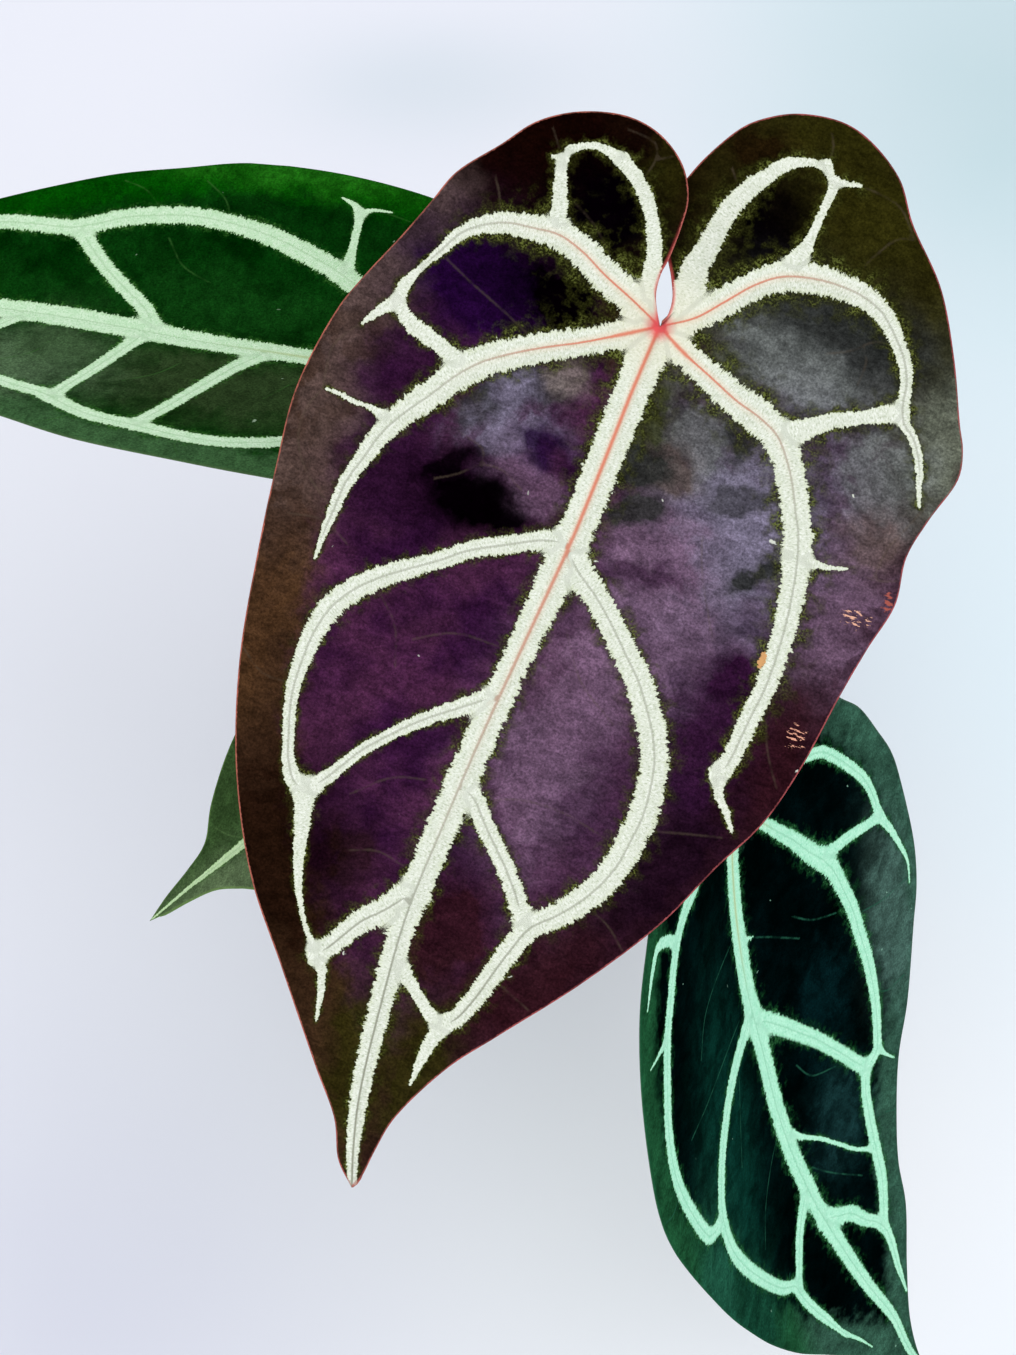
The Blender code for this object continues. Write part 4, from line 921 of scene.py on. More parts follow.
def silver_colour(g, tone, edge, line, warm):
    """The silver, streaked, with the thin line along its middle."""
    late = g.level(g.v, 100.0, 160.0, 0.0, tone["line_late"])
    strength = g.sum(tone["line_amount"], g.product(warm, 0.42), late)
    return g.layered(
        tone["silver"],
        (g.level(g.lumps, 0.35, 0.65), tone["silver_mid"]),
        (g.level(g.hairs, 0.49, 0.32, 0.0, 0.8), tone["silver_dark"]),
        (g.level(g.hairs, 0.52, 0.68, 0.0, 0.85), tone["silver_light"]),
        (g.level(edge, -0.9, 0.1, 0.0, tone["rim_tint"]), tone["silver_rim"]),
        (g.level(g.stalk_gap, 16.0, 2.0, 0.0, 0.5), tone["heart"]),
        (g.product(g.level(g.centre, 1.5, 0.2), warm, 0.45), tone["line_glow"]),
        (g.product(line, strength), g.blend(warm, tone["line"], tone["line_warm"])))


def leaf_look(name, tone):
    g = leaf_graph(name)
    edge, reach = silver_edge(g, tone)
    in_silver = g.level(edge, 0.20, -0.16)
    line, warm = centre_line(g, tone)
    thread = g.product(g.level(g.shaken(g.value("thread"), g.fine, 0.5), 0.42, 0.02),
                       g.level(g.mottle, 0.34, 0.62, 0.15, 1.0))
    blush = g.level(g.sum(g.stalk_gap, g.product(g.mottle, 1.2)), 4.6, 1.0)
    halo = g.product(g.level(g.stalk_gap, 26.0, 3.0), g.level(g.v, 1.5, -1.5),
                     g.level(g.margin, 0.8, 0.2), tone["blush_amount"], 0.7)
    rim_width = tone["rim_width"]
    rim = g.level(g.shaken(g.margin, g.grain, 0.5), rim_width, rim_width * 0.4)
    rim_colour = g.blend(g.level(g.u, -30.0, 30.0), tone["rim_left"], tone["rim_right"])
    top = g.layered(
        cells_between(g, tone, edge, reach, thread),
        (in_silver, silver_colour(g, tone, edge, line, warm)),
        (g.product(blush, tone["blush_amount"]), tone["blush"]),
        (halo, tone["blush"]),
        (g.product(rim, tone["rim_amount"], g.level(g.mottle, 0.3, 0.62, 0.35, 1.0)), rim_colour))
    flakes = g.noise(g.mapped(g.spot, (0.46, 1.5, 1.0), 36.0), 1.0, 3.0, 0.65)
    for scar_colour, centre, size, threshold in tone["scars"]:
        scarred = g.product(g.patch(g.spot, centre, size), flakes)
        top = g.blend(g.level(scarred, threshold, threshold + 0.05), top, scar_colour)
    below = g.layered(
        tone["under"],
        (g.level(g.mottle, 0.3, 0.7), tone["under_dark"]),
        (g.level(g.silver, 0.5, -1.2), tone["under_rib"]),
        (g.product(thread, 0.4), tone["under_rib"]),
        (g.level(g.grain, 0.35, 0.7, 0.0, 0.25), tone["under_rib"]),
        (g.product(rim, 0.7), rim_colour))
    height = g.sum(g.product(g.grain, 0.6), g.product(g.hairs, in_silver, 0.9),
                   g.product(line, -0.8), g.product(thread, -0.8))
    g.bump(height, 0.00022, 0.6)
    colour = g.blend(g.level(g.value("under"), 0.45, 0.55), top, below)
    return g.finish(colour, g.level(g.grain, 0.2, 0.8, 0.46, 0.62), specular=0.0)


# Colours of the blades' patches. The pale grey-green, pale sand, pale grey and violet-grey ones are
# painted sheen, lighter where the velvet catches light; the pale mauve is the blade's own purple lightened
# by painted sheen.
BLACK, NIGHT, PLUM = srgb(2, 0, 2), srgb(28, 5, 42), srgb(40, 14, 40)
UMBER, OLIVE, MOSS = srgb(24, 12, 4), srgb(38, 36, 8), srgb(48, 52, 24)
SOOT, RUST, WINE, GREEN_SHEEN = srgb(16, 4, 2), srgb(66, 44, 26), srgb(40, 14, 20), srgb(98, 103, 88)
MULBERRY = srgb(24, 8, 22)
SLATE, TAUPE, SAND_SHEEN = srgb(38, 40, 38), srgb(84, 68, 64), srgb(124, 112, 108)
ASH_SHEEN, STEEL_SHEEN, MAUVE_SHEEN = srgb(94, 98, 96), srgb(112, 106, 126), srgb(104, 80, 102)

# Colours and amounts of a blade. A zone is a soft patch: its colour, centre, half sizes,
# strength, turn in degrees and raggedness; some zones are painted sheen. A scar is its colour,
# centre, half sizes and the level of noise where it starts.
MAIN_TONE = {
    "cell": srgb(68, 33, 60), "cell_dark": srgb(42, 14, 44),
    "border": (8.0, 16.0), "border_amount": 0.95,
    "border_left": srgb(56, 38, 22), "border_right": srgb(40, 18, 24),
    # The pale grey, violet-grey, pale grey-green and pale mauve patches here are painted sheen.
    "zones": [
        (TAUPE, (-55, 2), (8, 20), 0.85, 15.0, 0.3), (TAUPE, (-58, 42), (6, 24), 0.7, 0.0, 0.6),
        (SOOT, (-37, 126), (14, 20), 0.8, -30.0, 0.3), (RUST, (-57, 84), (6, 20), 0.8, 0.0, 0.5),
        (SOOT, (-30, -29), (20, 9), 1.0, 15.0, 0.2), (SOOT, (-40, -21), (8, 7), 1.0, 30.0, 0.1),
        (OLIVE, (-9, -27), (4, 10), 0.9, 0.0, 0.4),
        (BLACK, (-18, -18), (12, 12), 1.0, 0.0, 0.1), (NIGHT, (-36, 4), (18, 11), 1.0, 15.0, 0.1),
        (BLACK, (-21, 1), (13, 7), 1.0, 15.0, 0.2), (PLUM, (-46, 24), (9, 9), 0.8, 0.0, 0.4),
        (PLUM, (-38, 46), (12, 11), 0.9, -20.0, 0.3), (SLATE, (-19, 19), (6, 4), 0.8, 0.0, 0.3),
        (SAND_SHEEN, (-13, 16), (3.5, 3), 0.6, 0.0, 0.4), (STEEL_SHEEN, (-24, 24), (3.5, 6), 0.8, 30.0, 0.4),
        (SLATE, (-29, 27), (2.5, 4.5), 0.8, 20.0, 0.3), (STEEL_SHEEN, (-21, 30), (8, 4), 0.6, -20.0, 0.7),
        (BLACK, (-22, 45), (13, 6.5), 1.0, -5.0, 0.1), (BLACK, (-31, 40), (7, 2.6), 0.9, -35.0, 0.2),
        (NIGHT, (-14, 31), (4, 4.5), 0.9, 30.0, 0.2), (MAUVE_SHEEN, (-13, 38), (7, 3), 0.5, 15.0, 0.6),
        (UMBER, (-23, 121), (4, 5), 0.6, 0.0, 0.4),
        (BLACK, (14, -26), (10, 12), 1.0, 20.0, 0.1), (OLIVE, (30, -40), (28, 10), 0.9, 38.0, 0.4),
        (UMBER, (6, -40), (6, 4), 0.8, 0.0, 0.4), (OLIVE, (35, -30), (8, 7), 0.7, 0.0, 0.3),
        (OLIVE, (54, -13), (8, 17), 0.95, 20.0, 0.4), (GREEN_SHEEN, (61, 2), (6, 14), 0.95, 0.0, 0.2),
        (SLATE, (32, -9), (22, 9), 1.0, 0.0, 0.2), (ASH_SHEEN, (33, -1), (15, 6), 0.95, 5.0, 0.2),
        (ASH_SHEEN, (20, -1), (9, 6), 0.8, 15.0, 0.4), (MOSS, (18, 4), (9, 3), 0.7, 28.0, 0.7),
        (SLATE, (40, -9), (9, 5), 0.9, 20.0, 0.3),
        (ASH_SHEEN, (52, 14), (8, 10), 0.8, 0.0, 0.5), (MAUVE_SHEEN, (52, 42), (8, 14), 0.75, 0.0, 0.4),
        (TAUPE, (55, 27), (5, 5), 0.8, 0.0, 0.2), (WINE, (51, 72), (6, 13), 0.85, 0.0, 0.2),
        (MULBERRY, (36, 102), (8, 18), 0.9, 24.0, 0.1), (WINE, (20, 132), (7, 14), 0.8, 30.0, 0.2),
        (STEEL_SHEEN, (28, 36), (14, 21), 0.95, 12.0, 0.3), (MAUVE_SHEEN, (15, 43), (9, 8), 0.9, 5.0, 0.3),
        (ASH_SHEEN, (13, 18), (8, 9), 0.7, 0.0, 0.5), (TAUPE, (11, 26), (5, 4), 0.75, 0.0, 0.3),
        (MAUVE_SHEEN, (24, 57), (11, 9), 0.7, 0.0, 0.5),
        (MOSS, (4, 19), (4, 7), 0.85, 0.0, 0.5), (SLATE, (6, 28), (6, 4), 0.95, -20.0, 0.4),
        (SLATE, (7, 37), (6, 3), 0.95, -20.0, 0.4), (SLATE, (23, 16), (4, 4), 0.9, 0.0, 0.5),
        (SLATE, (28, 27), (7, 2), 0.7, -32.0, 0.5), (SLATE, (34, 40), (7, 2.2), 0.95, -38.0, 0.3),
        (PLUM, (38, 63), (7, 6), 1.0, -30.0, 0.2), (PLUM, (12, 48), (8, 2.2), 0.8, -10.0, 0.4),
        (PLUM, (38, 77), (7, 9), 0.9, 0.0, 0.4), (MAUVE_SHEEN, (10, 84), (12, 24), 0.8, 0.0, 0.3),
        (PLUM, (20, 94), (5, 12), 0.6, 10.0, 0.7), (WINE, (1, 129), (8, 12), 0.9, 0.0, 0.2),
        (OLIVE, (-8, 158), (6, 16), 0.85, 0.0, 0.3), (OLIVE, (4, 158), (5, 14), 0.85, 0.0, 0.3)],
    "lobe_left": srgb(20, 9, 4), "lobe_right": srgb(36, 34, 9), "lobe_amount": 0.95,
    # The crumple amount sets the crumpled pattern of painted sheen.
    "thread_colour": srgb(92, 80, 66), "thread_amount": 0.28, "grain": 0.3, "cloud": 0.18, "crumpled_sheen": 0.32,
    "fringe_reach": (2.5, 3.0), "fringe": (0.42, 1.0), "fringe_colour": srgb(42, 44, 14),
    "spark": 0.75, "spark_colour": srgb(112, 122, 58), "specks": 0.8,
    "teeth": 2.2, "drift": 2.2, "spread": 0.32,
    "silver": srgb(222, 227, 213), "silver_mid": srgb(213, 219, 203), "silver_dark": srgb(172, 182, 156),
    "silver_light": srgb(243, 246, 239), "silver_rim": srgb(206, 216, 176), "rim_tint": 0.5,
    "line": srgb(140, 142, 124), "line_warm": srgb(216, 122, 96), "line_glow": srgb(226, 200, 172),
    "heart": srgb(226, 222, 196),
    "line_amount": 0.5, "line_late": 0.4, "warm_reach": 68.0,
    "blush": srgb(232, 84, 92), "blush_amount": 0.9,
    "rim_width": 0.36, "rim_left": srgb(196, 112, 96), "rim_right": srgb(176, 88, 90), "rim_amount": 0.9,
    "scars": [
        (srgb(226, 172, 148), (56.2, 42), (7, 5), 0.50), (srgb(160, 84, 74), (61.2, 37), (2.6, 6), 0.48),
        (srgb(222, 160, 136), (53.2, 68), (4.5, 7), 0.50),
        (srgb(206, 156, 104), (41.7, 56), (1.1, 2.6), 0.30)],
    "under": srgb(116, 84, 82), "under_dark": srgb(92, 66, 66), "under_rib": srgb(150, 140, 108),
}

LEFT_TONE = dict(
    MAIN_TONE, cell=srgb(8, 52, 10), cell_dark=srgb(1, 36, 3),
    border=(6.0, 13.0), border_amount=0.9, border_left=srgb(3, 66, 2), border_right=srgb(58, 92, 56),
    # The three grey-green zones near the midrib are painted sheen; the last two are the blade's own
    # greens.
    zones=[
        (srgb(42, 60, 32), (22, 44), (16, 30), 0.95, 0.0, 0.3),
        (srgb(78, 102, 73), (26, 94), (12, 18), 0.9, 0.0, 0.3),
        (srgb(60, 84, 54), (12, 86), (11, 9), 0.8, 0.0, 0.3),
        (srgb(14, 58, 15), (-12, 52), (8, 26), 0.7, 0.0, 0.5),
        (srgb(30, 100, 19), (-61, 66), (7, 46), 0.95, 0.0, 0.3)],
    thread_colour=srgb(60, 108, 48), thread_amount=0.4, cloud=0.2, crumpled_sheen=0.2,
    fringe_reach=(1.6, 0.8), fringe=(0.1, 0.7), fringe_colour=srgb(40, 86, 30),
    spark=0.5, spark_colour=srgb(110, 160, 84), specks=0.4, drift=1.6, spread=0.25,
    lobe_amount=0.0,
    silver=srgb(206, 234, 202), silver_mid=srgb(192, 226, 188), silver_dark=srgb(158, 202, 152),
    silver_light=srgb(224, 244, 220), silver_rim=srgb(168, 212, 152),
    line=srgb(150, 190, 140), line_warm=srgb(176, 196, 140), line_glow=srgb(200, 222, 180),
    heart=srgb(206, 226, 190),
    line_amount=0.35, line_late=0.0, warm_reach=30.0, blush=srgb(168, 180, 110), blush_amount=0.6,
    rim_width=0.5, rim_left=srgb(26, 84, 20), rim_right=srgb(70, 96, 60), rim_amount=0.6,
    scars=[], under=srgb(104, 134, 92), under_dark=srgb(84, 114, 76), under_rib=srgb(150, 176, 126))

# The dark green blade: its mint silver and teal are partly its own colour and partly a painted cyan cast
# of light, and its lighter teal and grey zones are partly its own green and partly painted sheen.
RIGHT_TONE = dict(
    LEFT_TONE, cell=srgb(1, 10, 11), cell_dark=srgb(0, 4, 4),
    border_left=srgb(28, 76, 46), border_right=srgb(50, 86, 70),
    zones=[
        (srgb(7, 43, 35), (-26, 82), (15, 40), 0.95, 0.0, 0.2),
        (srgb(28, 76, 58), (-45, 112), (11, 26), 0.9, 0.0, 0.2),
        (srgb(18, 60, 44), (-25, 133), (9, 20), 0.9, -25.0, 0.2),
        (srgb(18, 44, 44), (30, 112), (10, 13), 0.9, 0.0, 0.4),
        (srgb(4, 26, 28), (28, 74), (8, 15), 0.8, 0.0, 0.4),
        (srgb(62, 88, 80), (62, 66), (9, 26), 0.9, 0.0, 0.2)],
    thread_colour=srgb(40, 96, 74), thread_amount=0.6, cloud=0.35,
    fringe_reach=(2.6, 0.4), fringe=(0.1, 0.8), fringe_colour=srgb(22, 66, 34),
    spark_colour=srgb(90, 170, 100),
    teeth=2.0, drift=1.4, spread=0.2,
    silver=srgb(182, 238, 208), silver_mid=srgb(168, 230, 198), silver_dark=srgb(132, 206, 166),
    silver_light=srgb(212, 248, 228), silver_rim=srgb(128, 206, 152),
    line=srgb(120, 190, 150), rim_left=srgb(30, 86, 56), rim_right=srgb(84, 110, 92),
    under=srgb(92, 128, 100), under_dark=srgb(74, 108, 84), under_rib=srgb(140, 176, 138))

SMALL_TONE = dict(
    LEFT_TONE, cell=srgb(62, 90, 50), cell_dark=srgb(46, 74, 38),
    border_left=srgb(54, 78, 42), border_right=srgb(96, 116, 82),
    zones=[], thread_colour=srgb(100, 132, 80),
    silver=srgb(206, 234, 186), silver_mid=srgb(196, 226, 174), silver_dark=srgb(168, 206, 146),
    silver_light=srgb(220, 242, 202), silver_rim=srgb(166, 206, 138),
    fringe_colour=srgb(70, 104, 54), rim_left=srgb(100, 134, 68), rim_right=srgb(112, 146, 78))

SKINS = {
    "leaf_main": ("purple_blade", MAIN_TONE), "leaf_left": ("green_blade", LEFT_TONE),
    "leaf_right": ("dark_green_blade", RIGHT_TONE), "leaf_small": ("young_green_blade", SMALL_TONE)}


# Stalks, stem and sheaths

def sweep(line, radii, sides, ripple=None):
    """Points, faces and fields of a round rod along a line, and its length."""
    line, radii = np.asarray(line, float), np.asarray(radii, float)
    tangent = np.gradient(line, axis=0)
    tangent /= np.linalg.norm(tangent, axis=1)[:, None]
    side = np.cross(tangent[0], (0.31, 0.87, 0.22))
    side /= np.linalg.norm(side)
    travel = travel_along(line)
    turn = 2 * np.pi * np.arange(sides) / sides
    points, rod = [], []
    for k, spot in enumerate(line):
        side = side - tangent[k] * side.dot(tangent[k])
        side /= np.linalg.norm(side)
        other = np.cross(tangent[k], side)
        swell = ripple(travel[k], travel[-1], turn) if ripple else 0.0
        reach = radii[k] * (1.0 + swell) * np.ones(sides)
        points.append(spot + reach[:, None] * (np.cos(turn)[:, None] * side
                                               + np.sin(turn)[:, None] * other))
        rod.append(np.column_stack([np.cos(turn) * 2.0, np.sin(turn) * 2.0,
                                    np.full(sides, travel[k])]))
    points = np.vstack(points + [line[:1], line[-1:]])
    rod = np.vstack(rod + [[(0, 0, 0)], [(0, 0, travel[-1])]])
    faces = ring_faces(0, len(line), sides)
    count, last = len(line) * sides, (len(line) - 1) * sides
    for j in range(sides):
        after = (j + 1) % sides
        faces += [(count, after, j), (count + 1, last + j, last + after)]
    return points, faces, rod, travel[-1]


def gathered(name, pieces, smooth=True):
    """One object from several (points, faces, fields)."""
    points, faces, fields, count = [], [], {}, 0
    for part_points, part_faces, part_fields in pieces:
        points.append(part_points)
        faces += [tuple(int(i) + count for i in face) for face in part_faces]
        for key, value in part_fields.items():
            fields.setdefault(key, []).append(value)
        count += len(part_points)
    fields = {key: np.concatenate(values) for key, values in fields.items()}
    return add_object(name, np.vstack(points), faces, fields, smooth)


def stalk_line(leaf, bearing, through):
    """A stalk's course from inside the stem to inside the rib of its leaf."""
    _, along, out = axes_of(leaf)
    aim = math.radians(bearing)
    foot = np.array([math.cos(aim) * SOCKET_CIRCLE, math.sin(aim) * SOCKET_CIRCLE, STEM_TOP])
    end = np.array(leaf["at"]) + along * 3.0 - out * (RIB + RIB_GROOVE + GAP + 0.4)
    arriving = end - np.array(through[-1], float)
    arriving /= np.linalg.norm(arriving)
    neck = end - (out * 0.65 + arriving * 0.35) * KNUCKLE_LENGTH
    first = np.array(through[0], float)
    sunk = foot - (first - foot) / np.linalg.norm(first - foot) * 4.0
    line = smooth_line([sunk, foot, *through, neck, end], 14)
    return resampled(np.vstack([line, end + out * 1.3]), STALK_STEP)


def leaf_stalk(name, leaf, bearing, through, look):
    """A stalk that swells at its foot and at the knuckle under the blade."""
    line = stalk_line(leaf, bearing, through)
    travel = travel_along(line)
    left = travel[-1] - travel
    radii = STALK_RADIUS + (STALK_BASE_RADIUS - STALK_RADIUS) * np.exp(-(travel / 26.0) ** 2)
    radii += (KNUCKLE_RADIUS - STALK_RADIUS) * np.exp(-((left - 8.3) / 7.0) ** 2)
    radii *= np.where(left < 1.2, 0.9, 1.0)

    def ripple(at, total, turn):
        knuckle = math.exp(-((total - at - 8.3) / 8.0) ** 2)
        return (0.022 * np.cos(5 * turn + at * 0.02) + 0.012 * np.cos(11 * turn)
                + 0.018 * knuckle * math.sin(at * 3.1) - 0.03 * (1 - knuckle) * (np.cos(turn) > 0.86))

    points, faces, rod, total = sweep(line, radii, STALK_SIDES, ripple)
    fields = {"rod": rod, "left": total - rod[:, 2], "from_foot": rod[:, 2]}
    stand_for(add_object(name + "_round", points, faces, fields), name, look)


def stalk_look(name, red):
    g = Graph(name)
    rod, left, foot = g.vector("rod"), g.value("left"), g.value("from_foot")
    streak = g.noise(g.mapped(rod, (1.6, 1.6, 0.12)), 1.6, 4.0, 0.65)
    mottle = g.noise(rod, 0.35, 3.0, 0.6)
    dots = g.cells(g.mapped(rod, (1.0, 1.0, 0.45)), 0.9)
    colour = g.layered(
        srgb(104, 96, 52),
        (g.level(streak, 0.3, 0.7), srgb(132, 122, 74)),
        (g.level(mottle, 0.42, 0.72, 0.0, 0.55), srgb(96, 66, 44)),
        (g.level(foot, 30.0, 4.0, 0.0, 0.7), srgb(112, 84, 52)),
        (g.product(g.level(left, 20.0, 13.0), 0.7), srgb(132, 128, 76)),
        (g.product(g.level(left, 26.0, 0.0), red), srgb(150, 70, 54)),
        (g.product(g.level(dots, 0.16, 0.08), 0.7), srgb(172, 160, 118)))
    g.bump(g.sum(streak, g.product(g.level(dots, 0.2, 0.05), 0.5)), 0.00025, 0.7)
    return g.finish(colour, g.level(mottle, 0.2, 0.8, 0.38, 0.55), specular=0.35)


def stem_profile():
    """Radius and height of the stem, with a step wherever an old leaf stood."""
    profile = [(0.0, STEM_FOOT), (STEM_RADIUS - 1.0, STEM_FOOT), (STEM_RADIUS, STEM_FOOT + 2.0)]
    first, last, rings, rounding = MIX_LEVEL + 5.0, STEM_TOP - 1.5, 4, 1.4
    pitch = (last - first) / rings
    for z in np.arange(MIX_LEVEL - 8.0, STEM_TOP + 0.01, STEM_STEP):
        at = np.clip((z - first) / pitch, 0.0, rings)
        radius = STEM_RADIUS + (STEM_TOP_RADIUS - STEM_RADIUS) * math.ceil(at) / rings
        radius -= 0.75 * max(0.0, at - math.floor(at) - 0.8) / 0.2
        if z > STEM_TOP - rounding:
            radius -= 1.2 * ((z - STEM_TOP + rounding) / rounding) ** 2
        profile.append((radius - 0.15, z))
    return profile + [(0.0, STEM_TOP + 0.3)]


def stem_body():
    """The turned stem, roughened by noise."""
    profile = stem_profile()
    points, rod = [], []
    for radius, z in profile:
        for x, y, _ in ring(1.0, z, STEM_SIDES):
            bump = 0.28 * noise.noise(Vector((x * 3.4, y * 3.4, z * 0.38)))
            bump += 0.14 * noise.noise(Vector((x * 9.0, y * 9.0, z * 1.1)))
            reach = max(0.0, radius + (bump - 0.15 if radius > 1 else 0.0))
            points.append((x * reach, y * reach, z))
            rod.append((x * 8.0, y * 8.0, z))
    fields = {"rod": np.array(rod), "root": np.zeros(len(points))}
    return np.array(points), ring_faces(0, len(profile), STEM_SIDES), fields


def root_stub(number, bearing, height, length, droop):
    """A short aerial root, green at its tip."""
    aim = math.radians(bearing)
    share = np.linspace(0.0, 1.0, ROOT_RINGS)
    reach = STEM_RADIUS - 2.5 + (length + 2.3) * share
    line = np.column_stack([np.cos(aim) * reach, np.sin(aim) * reach, height - droop * share ** 2])
    radii = 1.85 * (1 - 0.42 * share) * np.sqrt(np.clip(1.0 - share ** 5, 0.02, 1.0))
    radii *= 1.0 + 0.06 * np.sin(share * 31.0 + number)
    points, faces, rod, _ = sweep(line, radii, ROOT_SIDES)
    fields = {"rod": rod + (0, 0, 40.0 * (number + 1)), "root": 0.2 + 0.8 * rod[:, 2] / 14.0}
    return points, faces, fields


def stem(look):
    stubs = [root_stub(number, *root) for number, root in enumerate(ROOTS)]
    stand_for(gathered("stem_corky", [stem_body(), *stubs]), "stem", look)


def stem_look():
    g = Graph("corky_stem")
    rod, root = g.vector("rod"), g.value("root")
    rings = g.noise(g.mapped(rod, (0.15, 0.15, 1.3)), 1.0, 4.0, 0.65)
    scars = g.noise(g.mapped(rod, (0.30, 0.30, 0.85)), 1.0, 5.0, 0.7, 0.6)
    mottle = g.noise(rod, 0.30, 4.0, 0.65)
    roots = g.layered(
        srgb(154, 132, 98),
        (g.level(mottle, 0.35, 0.65), srgb(124, 96, 64)),
        (g.level(root, 0.72, 0.98), srgb(164, 168, 104)))
    colour = g.layered(
        srgb(92, 84, 46),
        (g.level(rings, 0.32, 0.68), srgb(134, 118, 74)),
        (g.level(mottle, 0.46, 0.66, 0.0, 0.85), srgb(116, 88, 58)),
        (g.level(scars, 0.46, 0.34, 0.0, 0.75), srgb(62, 48, 31)),
        (g.level(scars, 0.56, 0.68, 0.0, 0.5), srgb(160, 142, 104)),
        (g.level(root, 0.05, 0.2), roots))
    g.bump(g.sum(rings, scars), 0.0006, 0.9)
    return g.finish(colour, g.level(mottle, 0.2, 0.8, 0.6, 0.85), specular=0.25)


def sheath_faces(rows, columns):
    """Faces of a strip's outer and inner side, and of the four edges between them."""
    count = rows * columns
    faces, edges = [], []
    for row in range(rows - 1):
        for column in range(columns - 1):
            a = row * columns + column
            faces.append((a, a + 1, a + columns + 1, a + columns))
            faces.append((a + count, a + columns + count, a + columns + 1 + count, a + 1 + count))
        start = row * columns
        edges += [(start, start + columns), (start + 2 * columns - 1, start + columns - 1)]
    for column in range(columns - 1):
        top = count - columns + column
        edges += [(column + 1, column), (top, top + 1)]
    return faces + [(a, b, b + count, a + count) for a, b in edges]


def sheath(name, bearing, half_span, height, look):
    """A dry sheath: a papery pointed strip, creased lengthways, with a torn edge."""
    inset = 0.2
    outer, inner, grain = [], [], []
    for row in range(SHEATH_ROWS):
        up = row / (SHEATH_ROWS - 1)
        span = half_span * (1 - up ** 2.2) + 1.3
        radius = STEM_TOP_RADIUS + GAP + 1.5 + 2.6 * up ** 2
        z = SHEATH_FOOT + height * up - inset
        for column in range(SHEATH_COLUMNS):
            share = 2 * column / (SHEATH_COLUMNS - 1) - 1
            tear = noise.noise(Vector((up * 9.0, 4.0 if share > 0 else -4.0, bearing)))
            angle = math.radians(bearing + span * share * (1.0 - 0.10 * abs(tear)))
            bend = noise.noise(Vector((share * 2, up * 3, bearing)))
            crease = 0.16 * math.sin(share * 17.0 + 2.0 * bend)
            crease += 0.25 * up * noise.noise(Vector((share * 3.0, up * 5.0, bearing + 3.0)))
            reach = radius + crease - inset
            thin = 0.5 - 0.2 * abs(share) ** 4
            outer.append((math.cos(angle) * reach, math.sin(angle) * reach, z))
            inner.append((math.cos(angle) * (reach - thin), math.sin(angle) * (reach - thin), z))
            grain.append((share * 10.0, up * height, 0.0))
    item = add_object(name + "_papery", outer + inner, sheath_faces(SHEATH_ROWS, SHEATH_COLUMNS),
                      {"sheet": grain + grain})
    stand_for(item, name, look)


def sheath_look():
    g = Graph("papery_sheath")
    sheet = g.vector("sheet")
    fibres = g.noise(g.mapped(sheet, (1.9, 0.07, 1.0)), 1.0, 4.0, 0.7)
    mottle = g.noise(sheet, 0.22, 3.0, 0.6)
    colour = g.layered(
        srgb(112, 76, 46),
        (g.level(fibres, 0.32, 0.68), srgb(176, 138, 92)),
        (g.level(mottle, 0.45, 0.7, 0.0, 0.6), srgb(90, 58, 34)),
        (g.level(g.parts(sheet)[1], 6.0, 0.0, 0.0, 0.6), srgb(104, 96, 54)))
    g.bump(fibres, 0.0005, 0.9)
    return g.finish(colour, g.level(mottle, 0.2, 0.8, 0.6, 0.8), specular=0.3)


# Potting mix and pot

def mix_height(x, y, outer):
    """Height of the mix's surface at a place."""
    crown = 2.5 * (1 - (math.hypot(x, y) / outer) ** 2)
    return MIX_LEVEL + crown - 1.2 + 1.5 * noise.noise(Vector((x / 9.0, y / 9.0, 2.2)))


def mix_body(outer):
    """The filling under the loose pieces: a lumpy crown over a tapering plug."""
    points = [(0.0, 0.0, mix_height(0, 0, outer) - 3.0)]
    for k in range(1, MIX_RINGS + 1):
        for x, y, _ in ring(k / MIX_RINGS * outer, 0.0, MIX_SIDES):
            lumps = 0.5 * noise.noise(Vector((x / 2.2, y / 2.2, 7)))
            points.append((x, y, mix_height(x, y, outer) + lumps))
    points += ring(outer, MIX_LEVEL - MIX_EDGE, MIX_SIDES)
    points += ring(POT_FOOT_RADIUS - POT_WALL - MIX_FOOT_GAP, POT_BASE + GAP, MIX_SIDES)
    points = np.array(points + [(0.0, 0.0, POT_BASE + GAP)])
    fields = {"tint": np.full(len(points), 0.15), "kind": np.zeros(len(points)), "grain": points}
    return points, turned_faces(MIX_RINGS + 2, MIX_SIDES), fields


def chunk(size, flatness, seed, soft):
    """A broken lump of bark, or with soft near 1 a rounded grain of perlite."""
    shape = bmesh.new()
    bmesh.ops.create_cube(shape, size=1.0)
    bmesh.ops.subdivide_edges(shape, edges=shape.edges, cuts=2, use_grid_fill=True)
    points = []
    for vert in shape.verts:
        p = vert.co.lerp(vert.co.normalized() * 0.62, soft)
        p += noise.noise_vector(p * 2.1 + Vector((seed * 3.3, 0, seed))) * (0.1 + 0.14 * soft)
        points.append((p.x * size, p.y * size * (0.55 + 0.3 * math.sin(seed)), p.z * size * flatness))
    faces = [tuple(v.index for v in face.verts) for face in shape.faces]
    shape.free()
    return np.array(points), faces


